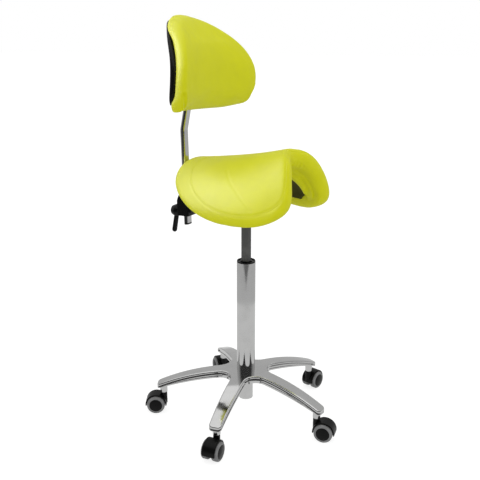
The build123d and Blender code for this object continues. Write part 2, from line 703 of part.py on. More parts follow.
def fan_angles(count):
    """Angles of the first fan planes on both sides of the ridge."""
    one_side = [FLAP_ANGLE * share for share in FAN_SHARES[:count]]
    return [-angle for angle in reversed(one_side[1:])] + one_side


def cushion_thickness(angle):
    """Thickness of the seat cushion, thinner round the flaps' lower edges."""
    past = (abs(angle) - FLAP_ROUND_ANGLE) / (FLAP_ANGLE - FLAP_ROUND_ANGLE)
    swell = sqrt(1 - max(past, 0) ** 2)
    return CUSHION_RIM + (CUSHION_THICKNESS - CUSHION_RIM) * swell


def seat_cushion():
    """Upholstered saddle with a crowned ridge, drooping flaps and rolled edges."""
    sections = []
    for angle in fan_angles(len(FAN_SHARES)):
        thickness = cushion_thickness(angle)
        drop = (CUSHION_THICKNESS - thickness) / 2
        sections.append(saddle_section(angle, drop, thickness, 0))
    return Solid.make_loft(sections)


def seat_shell():
    """Moulded shell under the cushion."""
    drop = CUSHION_THICKNESS + SHELL_GAP
    sections = []
    for angle in fan_angles(SHELL_FAN_COUNT):
        sections.append(saddle_section(angle, drop, SHELL_THICKNESS, SHELL_INSET))
    return Solid.make_loft(sections)


def seat_block():
    """Block that fills the arch between the plate and the shell."""
    drop = CUSHION_THICKNESS + SHELL_GAP + SHELL_THICKNESS + SOFT_GAP
    angles = fan_angles(BLOCK_FAN_COUNT)
    depth = BLOCK_ROOT_DROP - drop
    arch = Solid.make_loft([saddle_section(angle, drop, depth, SHELL_INSET) for angle in angles])
    block = Pos(0, 0, PLATE_TOP) * extrude(plate_outline(BLOCK_MARGIN), RIDGE_RADIUS)
    block = Part() + block & arch
    hole = Pos(0, 0, HOUSING_TOP) * rod(BOLT_DIAMETER + 2 * SEATED_GAP, BOLT_LENGTH + STOP_GAP)
    for place in bolt_places():
        block -= place * hole
    return block


# Backrest support


def clamp_frame():
    """Middle of the clamp, Z along the lower stretch of the bar."""
    return Pos(0, BAR_SETBACK, CLAMP_Z) * Rot(-BAR_LEAN, 0, 0)


def stud_frame():
    """Clamp stud's axis at the clamp's rear face, Z pointing to the rear."""
    return clamp_frame() * Pos(0, CLAMP_DEPTH / 2, -STUD_DROP) * Rot(-90, 0, 0)


def upper_bar_frame():
    """Bend of the bar, Z along its upper stretch."""
    bend = clamp_frame() * Pos(0, 0, BAR_BEND_ABOVE_CLAMP + CLAMP_HEIGHT / 2)
    return Pos(*bend.position) * Rot(BAR_UPPER_LEAN, 0, 0)


def support_arm():
    """Flat steel arm from the mounting plate down to the clamp."""
    half = SUPPORT_THICKNESS / 2
    start = (0, HOUSING_DIAMETER / 2 + SUPPORT_START_GAP, HOUSING_TOP - half)
    knee = (0, SUPPORT_KNEE, HOUSING_TOP - half)
    tail_y = -CLAMP_DEPTH / 2 - half
    tail_top = CLAMP_HEIGHT / 2 - SUPPORT_TAIL_TOP
    shoulder = (clamp_frame() * Pos(0, tail_y, tail_top)).position
    tail = (clamp_frame() * Pos(0, tail_y, tail_top - SUPPORT_TAIL)).position
    path = FilletPolyline(start, knee, shoulder, tail, radius=SUPPORT_BEND_RADIUS)
    end = Plane(path @ 0, x_dir=(1, 0, 0), z_dir=path % 0)
    return sweep(end * Rectangle(SUPPORT_WIDTH, SUPPORT_THICKNESS), path=path)


def clamp_body():
    """Clamp block round the bar, with a sloped top and a threaded rear wall for the stud."""
    block = Box(CLAMP_WIDTH, CLAMP_DEPTH, CLAMP_HEIGHT)
    block = fillet(block.edges().filter_by(Axis.Z), CLAMP_EDGE)
    rear = CLAMP_DEPTH / 2
    top = CLAMP_HEIGHT / 2
    corner = Polygon((rear, top), (rear - CLAMP_SLOPE, top), (rear, top - CLAMP_SLOPE_HEIGHT), align=None)
    block -= extrude(Plane.YZ * corner, CLAMP_WIDTH, both=True)
    slot = SlotOverall(BAR_WIDTH + 2 * SLIDE_GAP, BAR_DEPTH + 2 * SLIDE_GAP)
    block -= Pos(0, 0, -CLAMP_HEIGHT) * extrude(slot, 2 * CLAMP_HEIGHT)
    thread = rod(STUD_DIAMETER + 2 * RUNNING_GAP, CLAMP_WALL)
    return clamp_frame() * block - stud_frame() * Pos(0, 0, -CLAMP_WALL) * thread


def clamp_stud():
    """Stud that presses on the bar when the lever is turned."""
    inside = CLAMP_WALL - STOP_GAP
    length = inside + LEVER_HUB_GAP + STUD_IN_HUB
    return stud_frame() * Pos(0, 0, -inside) * rod(STUD_DIAMETER, length)


def clamp_lever():
    """Clamping lever with a double-cone hub and a splayed handle that hangs down."""
    crown = tapered_rod(LEVER_HUB_DIAMETER, LEVER_HUB_CROWN_DIAMETER, LEVER_HUB_LENGTH - LEVER_HUB_CONE)
    body = tapered_rod(LEVER_HUB_NECK_DIAMETER, LEVER_HUB_DIAMETER, LEVER_HUB_CONE)
    body += Pos(0, 0, LEVER_HUB_CONE) * crown
    body = fillet(body.edges().group_by(Axis.Z)[1:], LEVER_HUB_EDGE)
    handle = tapered_rod(HANDLE_ROOT_DIAMETER, HANDLE_TIP_DIAMETER, HANDLE_LENGTH)
    handle += Pos(0, 0, HANDLE_LENGTH) * Sphere(HANDLE_TIP_DIAMETER / 2)
    body += Pos(0, 0, LEVER_HUB_CONE) * Rot(-90 + HANDLE_SPLAY, 0, 0) * handle
    body -= rod(STUD_DIAMETER + 2 * SEATED_GAP, STUD_IN_HUB + STOP_GAP)
    return stud_frame() * Pos(0, 0, LEVER_HUB_GAP) * body


def bar_path():
    """Centre line of the backrest bar, from its lower end."""
    foot = (clamp_frame() * Pos(0, 0, -CLAMP_HEIGHT / 2 - BAR_BELOW_CLAMP)).position
    bend = upper_bar_frame().position
    head = (upper_bar_frame() * Pos(0, 0, BAR_UPPER_LENGTH)).position
    return FilletPolyline(foot, bend, head, radius=BAR_BEND_RADIUS)


def backrest_bar():
    """Chromed flat-oval tube, bent forwards under the backrest."""
    path = bar_path()
    foot = Plane(path @ 0, x_dir=(1, 0, 0), z_dir=path % 0)
    outside = sweep(foot * SlotOverall(BAR_WIDTH, BAR_DEPTH), path=path)
    inside = foot * SlotOverall(BAR_WIDTH - 2 * BAR_WALL, BAR_DEPTH - 2 * BAR_WALL)
    return outside - sweep(inside, path=path)


def bar_plug():
    """Plastic plug in the bar's lower end."""
    path = bar_path()
    foot = Plane(path @ 0, x_dir=(1, 0, 0), z_dir=path % 0)
    slack = 2 * (BAR_WALL + SEATED_GAP)
    plug = Pos(0, 0, -PLUG_CAP) * extrude(SlotOverall(BAR_WIDTH, BAR_DEPTH), PLUG_CAP)
    plug += extrude(SlotOverall(BAR_WIDTH - slack, BAR_DEPTH - slack), PLUG_SPIGOT)
    return foot * plug


def bracket_frame():
    """Rear face of the bracket on the bar's front, Z pointing forwards."""
    return upper_bar_frame() * Pos(0, -BAR_DEPTH / 2, BRACKET_ABOVE_BEND) * Rot(90, 0, 0)


def screw_places():
    """Corners of the bracket's screw pattern."""
    side = BRACKET_WIDTH / 2 - SCREW_MARGIN
    rise = BRACKET_HEIGHT / 2 - SCREW_MARGIN
    return [Pos(x, y, 0) for x in (-side, side) for y in (-rise, rise)]


def back_bracket():
    """Steel plate welded to the bar and screwed to the backrest shell."""
    plate = extrude(RectangleRounded(BRACKET_WIDTH, BRACKET_HEIGHT, BRACKET_CORNER), BRACKET_THICKNESS)
    for place in screw_places():
        plate -= place * rod(SCREW_DIAMETER + 2 * SEATED_GAP, BRACKET_THICKNESS)
    return bracket_frame() * plate


def back_screws():
    """Screws through the bracket into the backrest shell."""
    screw = rod(SCREW_DIAMETER, SCREW_LENGTH)
    screw += Pos(0, 0, -SCREW_HEAD) * rod(SCREW_HEAD_DIAMETER, SCREW_HEAD)
    return Compound(children=[bracket_frame() * place * screw for place in screw_places()])


# Backrest


def pad_bottom():
    """Height of the backrest's lower edge."""
    return upper_bar_frame().position.Z + PAD_ABOVE_BEND


def pad_lean(height):
    """Setback of the pad from its waist, at a height above its lower edge."""
    above = (height - PAD_WAIST) / (PAD_HEIGHT - PAD_WAIST)
    below = (PAD_WAIST - height) / PAD_WAIST
    return PAD_UPPER_LEAN * max(above, 0) ** 2 + PAD_LOWER_LEAN * max(below, 0) ** 2


def pad_half_width(height):
    """Half width of the pad's outline: a broad foot under a round top."""
    if height < PAD_WIDEST:
        share = 1 - height / PAD_WIDEST
        return PAD_FOOT_HALF_WIDTH + (PAD_HALF_WIDTH - PAD_FOOT_HALF_WIDTH) * sqrt(1 - share**2)
    share = (height - PAD_WIDEST) / (PAD_HEIGHT - PAD_WIDEST)
    return PAD_HALF_WIDTH * (1 - share**PAD_OUTLINE_POWER) ** (1 / PAD_OUTLINE_POWER)


def pad_thickness(height):
    """Thickness of the pad, drawn in towards its lower and upper edge."""
    low = max(1 - height / PAD_RIM_BELOW, 0)
    high = max(1 - (PAD_HEIGHT - height) / PAD_RIM_ABOVE, 0)
    return PAD_RIM + (PAD_THICKNESS - PAD_RIM) * sqrt(1 - max(low, high) ** 2)


def pad_hollow(height):
    """Depth of the hollow in the pad's rear that the shell fills, at a height."""
    share = (height - PAD_HOLLOW_HEIGHT) / PAD_HOLLOW_REACH
    return PAD_HOLLOW * max(1 - share**2, 0)


def back_rear(height):
    """Setback of the shell's rear face on the centre line, at a height."""
    boss = (bracket_frame() * Pos(0, 0, BRACKET_THICKNESS + BOSS_DEPTH)).position
    swell = (pad_thickness(height) - PAD_THICKNESS) / 2
    return boss.Y - pad_lean(boss.Z - pad_bottom()) + pad_lean(height) + swell


def pad_rear(height):
    """Setback of the pad's rear face on the centre line, at a height."""
    return back_rear(height) - BACK_SHELL_THICKNESS - PAD_GAP - pad_hollow(height)


def curved_section(height, half_width, front, rear):
    """Closed level section, curved round the sitter, between two centre-line setbacks."""
    bulge = EDGE_BULGE * (rear - front)
    inner = half_width - bulge
    sag = PAD_CURVE_RADIUS - sqrt(PAD_CURVE_RADIUS**2 - inner**2)
    nose = (front + rear) / 2 - sag
    outline = Wire([
        ThreePointArc((-inner, front - sag), (0, front), (inner, front - sag)),
        ThreePointArc((inner, front - sag), (half_width, nose), (inner, rear - sag)),
        ThreePointArc((inner, rear - sag), (0, rear), (-inner, rear - sag)),
        ThreePointArc((-inner, rear - sag), (-half_width, nose), (-inner, front - sag)),
    ])
    return Pos(0, 0, pad_bottom() + height) * outline


def back_pad():
    """Upholstered backrest with a waist, a crowned front and rolled edges."""
    sections = []
    for share in PAD_SHARES:
        height = share * PAD_HEIGHT
        rear = pad_rear(height)
        front = rear + pad_hollow(height) - pad_thickness(height)
        sections.append(curved_section(height, pad_half_width(height), front, rear))
    return Solid.make_loft(sections)


def back_shell():
    """Black rear shell of the backrest, with a flat boss for the bracket."""
    sections = []
    for share in BACK_SHELL_SHARES:
        height = share * PAD_HEIGHT
        front = pad_rear(height) + PAD_GAP
        half_width = pad_half_width(height) - BACK_SHELL_INSET
        sections.append(curved_section(height, half_width, front, back_rear(height)))
    shell = Part() + Solid.make_loft(sections)
    plan = RectangleRounded(BRACKET_WIDTH, BRACKET_HEIGHT, BRACKET_CORNER)
    boss = extrude(plan, BOSS_DEPTH + BOSS_ROOT)
    shell += bracket_frame() * Pos(0, 0, BRACKET_THICKNESS) * boss
    hole = rod(SCREW_DIAMETER + 2 * SEATED_GAP, SCREW_LENGTH + STOP_GAP)
    for place in screw_places():
        shell -= bracket_frame() * place * hole
    return shell


def all_parts():
    """Every piece of the stool, by node name."""
    parts = {
        "base_casting": base_casting(),
        "caster_stems": caster_stems(),
        "column_tube": column_tube(),
        "column_guide": column_guide(),
        "thrust_bearing": thrust_bearing(),
        "piston_rod": piston_rod(),
        "rod_clip": rod_clip(),
        "pressure_cylinder": pressure_cylinder(),
        "release_button": release_button(),
        "cone_housing": cone_housing(),
        "mounting_plate": mounting_plate(),
        "plate_bolts": plate_bolts(),
        "lever_pin": lever_pin(),
        "lever_rod": lever_rod(),
        "lever_grip": lever_grip(),
        "seat_block": seat_block(),
        "seat_shell": seat_shell(),
        "seat_cushion": seat_cushion(),
        "support_arm": support_arm(),
        "clamp_body": clamp_body(),
        "clamp_stud": clamp_stud(),
        "clamp_lever": clamp_lever(),
        "backrest_bar": backrest_bar(),
        "bar_plug": bar_plug(),
        "back_bracket": back_bracket(),
        "back_screws": back_screws(),
        "back_shell": back_shell(),
        "back_pad": back_pad(),
    }
    parts.update(caster_parts())
    return parts


os.makedirs("parts", exist_ok=True)
for node, shape in all_parts().items():
    export_step(shape, f"parts/{node}.step")
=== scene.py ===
"""Looks of a medical saddle stool with a backrest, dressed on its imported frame."""

from __future__ import annotations

import json
import logging
import math
from contextlib import contextmanager
from dataclasses import astuple, dataclass, field
from enum import Enum
from typing import Iterable, Iterator, Mapping, Sequence

import bpy
import numpy as np
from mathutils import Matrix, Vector
from mathutils.bvhtree import BVHTree
from mathutils.kdtree import KDTree

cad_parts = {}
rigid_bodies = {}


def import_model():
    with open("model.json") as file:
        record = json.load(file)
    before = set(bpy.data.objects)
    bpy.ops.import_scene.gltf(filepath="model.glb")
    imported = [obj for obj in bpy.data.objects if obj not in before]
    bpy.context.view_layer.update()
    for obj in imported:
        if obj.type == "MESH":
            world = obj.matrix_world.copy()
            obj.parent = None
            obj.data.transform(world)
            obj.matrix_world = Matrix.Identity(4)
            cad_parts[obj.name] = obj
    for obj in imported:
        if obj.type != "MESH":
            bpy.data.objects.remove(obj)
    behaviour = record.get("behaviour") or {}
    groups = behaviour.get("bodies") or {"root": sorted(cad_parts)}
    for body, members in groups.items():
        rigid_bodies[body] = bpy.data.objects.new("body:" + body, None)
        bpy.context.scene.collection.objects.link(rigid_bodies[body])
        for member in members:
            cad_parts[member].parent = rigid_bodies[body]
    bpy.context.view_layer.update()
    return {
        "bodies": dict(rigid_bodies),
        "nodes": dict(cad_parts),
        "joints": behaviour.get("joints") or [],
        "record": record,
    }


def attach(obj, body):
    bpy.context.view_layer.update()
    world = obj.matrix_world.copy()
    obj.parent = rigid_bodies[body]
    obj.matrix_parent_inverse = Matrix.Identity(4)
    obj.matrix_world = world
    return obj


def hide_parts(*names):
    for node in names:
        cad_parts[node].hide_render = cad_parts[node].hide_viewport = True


LOG = logging.getLogger("saddle_stool")
COVERS = ("seat_upholstery", "seat_seam", "seat_hem", "back_upholstery")
MERGE_DISTANCE = 0.00002
SMOOTHING = 0.5
TINY = 1e-9
Pair = tuple[float, float]
Triple = tuple[float, float, float]
Colour = Triple
Piece = bpy.types.Object
Sockets = bpy.types.bpy_prop_collection


class Look(Enum):
    """Finishes of the stool."""

    LIME = "lime_leatherette"
    CHROME = "chrome"
    CASTING = "chrome_casting"
    ZINC = "zinc_steel"
    BRIGHT = "bright_steel"
    GREY_PAINT = "grey_lacquer"
    BLACK_PAINT = "black_lacquer"
    BLACK_PLASTIC = "black_plastic"
    # Painted shade: a dark olive for the seat shell, standing in for the seat's lime underside in deep
    # shadow.
    LINING = "dark_lining"
    PLYWOOD = "plywood"
    CASTER = "caster_black"
    AXLE = "axle_steel"
    TREAD = "grey_tread"


# Shader graphs


class Signal:
    """One output of a shader graph, with arithmetic that adds Math nodes."""

    def __init__(self, graph: Graph, socket: bpy.types.NodeSocket) -> None:
        """Keep the graph and the socket that the signal comes from."""
        self.graph = graph
        self.socket = socket

    def _math(self, operation: str, first: Signal | float, second: Signal | float) -> Signal:
        """Add a Math node on two values.

        Args:
            operation: The Math node's operation.
            first: Left value.
            second: Right value.

        Returns:
            The node's result.
        """
        return self.graph.add("ShaderNodeMath", {"operation": operation}, {0: first, 1: second})

    def __add__(self, other: Signal | float) -> Signal:
        """Sum of two values."""
        return self._math("ADD", self, other)

    __radd__ = __add__

    def __sub__(self, other: Signal | float) -> Signal:
        """Difference of two values."""
        return self._math("SUBTRACT", self, other)

    def __rsub__(self, other: float) -> Signal:
        """Difference with a plain number on the left."""
        return self._math("SUBTRACT", other, self)

    def __mul__(self, other: Signal | float) -> Signal:
        """Product of two values."""
        return self._math("MULTIPLY", self, other)

    __rmul__ = __mul__

    def __truediv__(self, other: Signal | float) -> Signal:
        """Quotient of two values."""
        return self._math("DIVIDE", self, other)

    def root(self) -> Signal:
        """Square root of the value."""
        return self.graph.add("ShaderNodeMath", {"operation": "SQRT"}, {0: self})

    def at_most(self, other: Signal | float) -> Signal:
        """Smaller of two values."""
        return self._math("MINIMUM", self, other)

    def at_least(self, other: Signal | float) -> Signal:
        """Larger of two values."""
        return self._math("MAXIMUM", self, other)


class Graph:
    """A node tree that is built node by node."""

    def __init__(self, tree: bpy.types.NodeTree) -> None:
        """Keep the node tree."""
        self.tree = tree

    def add(
        self,
        kind: str,
        settings: Mapping[str, object],
        inputs: Mapping[int | str, object],
        output: int | str = 0,
    ) -> Signal:
        """Add one node.

        Args:
            kind: Node type.
            settings: Node properties, set before its sockets. The key stops holds a ramp's stops.
            inputs: Value or signal of each socket, by number or name.
            output: Socket that is given back.

        Returns:
            The chosen output.
        """
        node = self.tree.nodes.new(kind)
        for key, value in settings.items():
            if key == "stops":
                self._set_stops(node.color_ramp, value)
            else:
                setattr(node, key, value)
        for key, value in inputs.items():
            self.feed(node.inputs[key], value)
        return Signal(self, node.outputs[output])

    @staticmethod
    def _set_stops(ramp: bpy.types.ColorRamp, stops: Sequence[Pair]) -> None:
        """Set a ramp's grey stops.

        Args:
            ramp: The ramp of a node.
            stops: Places and grey values, in order.
        """
        while len(ramp.elements) < len(stops):
            ramp.elements.new(1.0)
        for element, (place, grey) in zip(ramp.elements, stops):
            element.position = place
            element.color = (grey, grey, grey, 1.0)

    def feed(self, socket: bpy.types.NodeSocket, value: object) -> None:
        """Link a signal to a socket, or set the socket's value.

        Args:
            socket: Socket of a node's input.
            value: A signal, or the plain value.
        """
        if isinstance(value, Signal):
            self.tree.links.new(value.socket, socket)
        else:
            socket.default_value = value

    def place(self) -> Signal:
        """Object coordinates, in metres."""
        return self.add("ShaderNodeTexCoord", {}, {}, "Object")

    def axes(self) -> list[Signal]:
        """Object coordinates along each axis, in metres."""
        node = self.add("ShaderNodeSeparateXYZ", {}, {0: self.place()}).socket.node
        return [Signal(self, socket) for socket in node.outputs]

    def stretched(self, scale: Sequence[float]) -> Signal:
        """Object coordinates with another scale on each axis."""
        return self.add("ShaderNodeMapping", {}, {"Vector": self.place(), "Scale": tuple(scale)})

    def noise(self, scale: float, detail: float = 2.0, at: Signal | None = None) -> Signal:
        """Smooth noise with a value about one half.

        Args:
            scale: Waves in a metre.
            detail: Number of finer layers.
            at: Coordinates, or None for the object's own.

        Returns:
            The noise value.
        """
        sockets = {"Vector": at or self.place(), "Scale": scale, "Detail": detail}
        return self.add("ShaderNodeTexNoise", {}, sockets, 0)

    def ramp(self, value: Signal, stops: Sequence[Pair]) -> Signal:
        """Value reshaped by a ramp of grey stops."""
        return self.add("ShaderNodeValToRGB", {"stops": stops}, {0: value})

    def blend(self, share: Signal, first: Colour, second: Colour) -> Signal:
        """Colour between two, by a share.

        Args:
            share: 0 for the first colour and 1 for the second.
            first: Linear colour.
            second: Linear colour.

        Returns:
            The mixed colour.
        """
        sockets = {0: share, 6: (*first, 1.0), 7: (*second, 1.0)}
        return self.add("ShaderNodeMix", {"data_type": "RGBA", "clamp_factor": True}, sockets, 2)

    def bump(self, height: Signal, depth: float, strength: float = 1.0) -> Signal:
        """Normal tipped by a height field.

        Args:
            height: Height as a share of the depth.
            depth: Depth of the full height in metres.
            strength: Share of the effect that is used.

        Returns:
            The normal.
        """
        return self.add("ShaderNodeBump", {}, {"Strength": strength, "Distance": depth, "Height": height})


# Finishes


def shade(colour: Colour, share: float) -> Colour:
    """Colour made darker or lighter by a factor."""
    return tuple(min(channel * share, 1.0) for channel in colour)


@dataclass(frozen=True)
class Finish:
    """A surface finish with its main colour and gloss."""

    look: Look
    colour: Colour
    roughness: float
    specular: float = 0.5

    def make(self) -> bpy.types.Material:
        """Build the material.

        Returns:
            The material, named after its look.
        """
        material = bpy.data.materials.new(f"{self.look.value}_finish")
        material.use_nodes = True
        surface = material.node_tree.nodes["Principled BSDF"]
        surface.inputs["Roughness"].default_value = self.roughness
        surface.inputs["Specular IOR Level"].default_value = self.specular
        surface.inputs["Base Color"].default_value = (*self.colour, 1.0)
        self.paint(Graph(material.node_tree), surface.inputs)
        return material

    def paint(self, graph: Graph, surface: Sockets) -> None:
        """Add the finish's own nodes.

        Args:
            graph: The material's graph.
            surface: The surface shader's sockets.
        """
        raise NotImplementedError


@dataclass(frozen=True)
class Leatherette(Finish):
    """Soft upholstery cover with a fine pebbled grain."""

    pebbles_per_metre: float = 620.0
    pores_per_pebble: float = 3.4
    clouds_per_metre: float = 9.0
    streaks_per_metre: float = 55.0
    grain_depth: float = 0.00022
    mottle: float = 0.10
    gloss_tint: Colour = (1.0, 1.0, 0.9)

    def paint(self, graph: Graph, surface: Sockets) -> None:
        """Pebbles and pores in the bump, a soft mottle in the colour.

        Args:
            graph: The material's graph.
            surface: The surface shader's sockets.
        """
        cells = {"Vector": graph.place(), "Scale": self.pebbles_per_metre, "Randomness": 0.9}
        groove = graph.add("ShaderNodeTexVoronoi", {"feature": "DISTANCE_TO_EDGE"}, cells, 0)
        pebble = graph.ramp(groove, ((0.0, 0.0), (0.09, 0.7), (0.3, 1.0)))
        pores = graph.noise(self.pores_per_pebble * self.pebbles_per_metre, 1.0)
        cloud = graph.noise(self.clouds_per_metre, 3.0)
        streak = graph.noise(self.streaks_per_metre, 4.0)
        height = 0.72 * pebble + 0.28 * pores
        tone = graph.ramp(0.5 * cloud + 0.3 * streak + 0.2 * pebble, ((0.25, 0.0), (0.75, 1.0)))
        darker = shade(self.colour, 1.0 - self.mottle)
        lighter = shade(self.colour, 1.0 + self.mottle / 2)
        graph.feed(surface["Base Color"], graph.blend(tone, darker, lighter))
        graph.feed(surface["Roughness"], self.roughness + 0.12 * (streak - 0.5) - 0.06 * (pebble - 0.5))
        graph.feed(surface["Normal"], graph.bump(height, self.grain_depth, 0.55))
        surface["Specular Tint"].default_value = (*self.gloss_tint, 1.0)


@dataclass(frozen=True)
class Plated(Finish):
    """Bright plated metal with faint wipe marks and a little waviness."""

    wave: float = 0.00002
    waves_per_metre: float = 34.0
    smudge: float = 0.06
    wipes_per_metre: float = 26.0
    dust_per_metre: float = 900.0

    def relief(self, graph: Graph) -> Signal:
        """Height of the surface in metres."""
        return self.wave * graph.noise(self.waves_per_metre, 1.0)

    def paint(self, graph: Graph, surface: Sockets) -> None:
        """Smudges in the gloss and a slow wave in the reflections.

        Args:
            graph: The material's graph.
            surface: The surface shader's sockets.
        """
        wipe = graph.noise(self.wipes_per_metre, 5.0)
        dust = graph.noise(self.dust_per_metre, 2.0)
        smear = graph.ramp(wipe, ((0.45, 0.0), (0.72, 1.0)))
        graph.feed(surface["Roughness"], self.roughness + self.smudge * smear + 0.03 * dust)
        dull = 0.6 * smear + 0.4 * dust
        graph.feed(surface["Base Color"], graph.blend(dull, self.colour, shade(self.colour, 0.9)))
        graph.feed(surface["Normal"], graph.bump(self.relief(graph), 1.0))
        surface["Metallic"].default_value = 1.0


@dataclass(frozen=True)
class PolishedCasting(Plated):
    """Plated casting whose side recesses lean out below their upper lips."""

    crown: Triple = (0.13329, 0.05351, -0.99173)
    lip: float = 0.0056
    lean_height: float = 0.0105
    lean_depth: float = 0.0025

    def relief(self, graph: Graph) -> Signal:
        """Height of the surface, leaning out below the lip under the arms' crown line.

        Args:
            graph: The material's graph.

        Returns:
            The height in metres.
        """
        x, y, z = graph.axes()
        square = x * x + y * y
        below = self.crown[0] + self.crown[1] * square.root() + self.crown[2] * square - z
        left = (1.0 - (below - self.lip) * (1.0 / self.lean_height)).at_least(0.0).at_most(1.0)
        return super().relief(graph) - self.lean_depth * left * left


@dataclass(frozen=True)
class Steel(Finish):
    """Bare or zinc-plated steel with fine drawing lines along the height."""

    lines_per_metre: float = 2200.0
    breaks_per_metre: float = 60.0
    line_depth: float = 0.00002
    clouds_per_metre: float = 70.0

    def paint(self, graph: Graph, surface: Sockets) -> None:
        """Fine lines in gloss and bump, and a cloudy tone.

        Args:
            graph: The material's graph.
            surface: The surface shader's sockets.
        """
        scale = (self.lines_per_metre, self.lines_per_metre, self.breaks_per_metre)
        lines = graph.noise(1.0, 3.0, graph.stretched(scale))
        cloud = graph.noise(self.clouds_per_metre, 4.0)
        tone = graph.blend(cloud, shade(self.colour, 0.86), shade(self.colour, 1.08))
        graph.feed(surface["Base Color"], tone)
        graph.feed(surface["Roughness"], self.roughness + 0.16 * (lines - 0.5) + 0.1 * (cloud - 0.5))
        graph.feed(surface["Normal"], graph.bump(lines, self.line_depth, 0.5))
        surface["Metallic"].default_value = 1.0


@dataclass(frozen=True)
class Lacquer(Finish):
    """Sprayed lacquer on metal, with a slight orange peel."""

    peel_per_metre: float = 420.0
    peel_depth: float = 0.00005
    rubs_per_metre: float = 38.0

    def paint(self, graph: Graph, surface: Sockets) -> None:
        """Orange peel in the bump, rubbed patches in the gloss.

        Args:
            graph: The material's graph.
            surface: The surface shader's sockets.
        """
        peel = graph.noise(self.peel_per_metre, 2.0)
        rubbed = graph.ramp(graph.noise(self.rubs_per_metre, 5.0), ((0.5, 0.0), (0.75, 1.0)))
        graph.feed(surface["Base Color"], graph.blend(rubbed, self.colour, shade(self.colour, 1.35)))
        graph.feed(surface["Roughness"], self.roughness - 0.1 * rubbed + 0.06 * peel)
        graph.feed(surface["Normal"], graph.bump(peel, self.peel_depth, 0.5))


@dataclass(frozen=True)
class Moulded(Finish):
    """Moulded plastic with a fine eroded texture."""

    texture_per_metre: float = 1500.0
    texture_depth: float = 0.00005
    marks_per_metre: float = 45.0

    def paint(self, graph: Graph, surface: Sockets) -> None:
        """Eroded texture in the bump, handling marks in gloss and tone.

        Args:
            graph: The material's graph.
            surface: The surface shader's sockets.
        """
        erosion = graph.noise(self.texture_per_metre, 3.0)
        handling = graph.ramp(graph.noise(self.marks_per_metre, 4.0), ((0.42, 0.0), (0.7, 1.0)))
        worn = 0.7 * handling + 0.3 * erosion
        graph.feed(surface["Base Color"], graph.blend(worn, self.colour, shade(self.colour, 1.5)))
        graph.feed(surface["Roughness"], self.roughness - 0.08 * handling + 0.1 * (erosion - 0.5))
        graph.feed(surface["Normal"], graph.bump(erosion, self.texture_depth, 0.6))


@dataclass(frozen=True)
class Plywood(Finish):
    """Raw plywood with its layers and a long grain."""

    layers_per_metre: float = 620.0
    grain_scale: Triple = (420.0, 26.0, 420.0)
    grain_depth: float = 0.0002

    def paint(self, graph: Graph, surface: Sockets) -> None:
        """Layers along the height and grain along the length.

        Args:
            graph: The material's graph.
            surface: The surface shader's sockets.
        """
        layers = graph.noise(1.0, 0.0, graph.stretched((0.0, 0.0, self.layers_per_metre)))
        grain = graph.noise(1.0, 5.0, graph.stretched(self.grain_scale))
        tone = graph.ramp(0.55 * layers + 0.45 * grain, ((0.3, 0.0), (0.7, 1.0)))
        wood = graph.blend(tone, shade(self.colour, 0.62), shade(self.colour, 1.12))
        graph.feed(surface["Base Color"], wood)
        graph.feed(surface["Roughness"], self.roughness + 0.15 * (grain - 0.5))
        graph.feed(surface["Normal"], graph.bump(grain, self.grain_depth, 0.5))


class Palette:
    """The stool's materials, one for each look."""

    FINISHES = (
        Leatherette(Look.LIME, (0.675, 0.687, 0.001), 0.52, 0.19),
        Plated(Look.CHROME, (0.64, 0.64, 0.635), 0.07),
        PolishedCasting(Look.CASTING, (0.64, 0.64, 0.635), 0.07),
        Steel(Look.ZINC, (0.56, 0.56, 0.57), 0.34),
        Steel(Look.BRIGHT, (0.62, 0.62, 0.64), 0.2),
        Lacquer(Look.GREY_PAINT, (0.085, 0.085, 0.086), 0.42, 0.3),
        Lacquer(Look.BLACK_PAINT, (0.006, 0.006, 0.006), 0.36, 0.2),
        Moulded(Look.BLACK_PLASTIC, (0.004, 0.004, 0.004), 0.3, 0.2),
        # Painted shade: dark olive on the seat shell in place of the lime underside's deep shadow.
        Moulded(Look.LINING, (0.045, 0.045, 0.003), 0.7, 0.1),
        Plywood(Look.PLYWOOD, (0.55, 0.40, 0.24), 0.62),
        Moulded(Look.CASTER, (0.003, 0.003, 0.003), 0.34, 0.14),
        Steel(Look.AXLE, (0.56, 0.56, 0.57), 0.3),
        Moulded(Look.TREAD, (0.17, 0.17, 0.172), 0.56, 0.3, texture_per_metre=700.0),
    )

    def __init__(self) -> None:
        """Build every finish once."""
        self.materials = {finish.look: finish.make() for finish in self.FINISHES}

    def __getitem__(self, look: Look) -> bpy.types.Material:
        """Material of a look."""
        return self.materials[look]


# Mesh helpers


def select_only(piece: Piece) -> None:
    """Make one object the only selected and the active one.

    Args:
        piece: The object.
    """
    bpy.ops.object.select_all(action="DESELECT")
    piece.select_set(True)
    bpy.context.view_layer.objects.active = piece


@contextmanager
def editing(piece: Piece) -> Iterator[None]:
    """Open a mesh for edits to all of its vertices.

    Args:
        piece: The mesh's object.
    """
    select_only(piece)
    bpy.ops.object.mode_set(mode="EDIT")
    bpy.ops.mesh.select_all(action="SELECT")
    yield
    bpy.ops.object.mode_set(mode="OBJECT")


def read_rows(items: bpy.types.bpy_prop_collection, key: str) -> np.ndarray:
    """Read one vector of each item of a mesh.

    Args:
        items: The mesh's vertices or their normals.
        key: Name of the vector.

    Returns:
        One row for each item.
    """
    flat = np.empty(3 * len(items), np.float32)
    items.foreach_get(key, flat)
    return flat.reshape(-1, 3).astype(float)


def places(piece: Piece) -> np.ndarray:
    """Vertex places of a mesh, one row each."""
    return read_rows(piece.data.vertices, "co")


def normals(piece: Piece) -> np.ndarray:
    """Vertex normals of a mesh, one row each."""
    return read_rows(piece.data.vertex_normals, "vector")


def move_to(piece: Piece, rows: np.ndarray) -> None:
    """Put a mesh's vertices at new places."""
    piece.data.vertices.foreach_set("co", rows.astype(np.float32).ravel())
    piece.data.update()


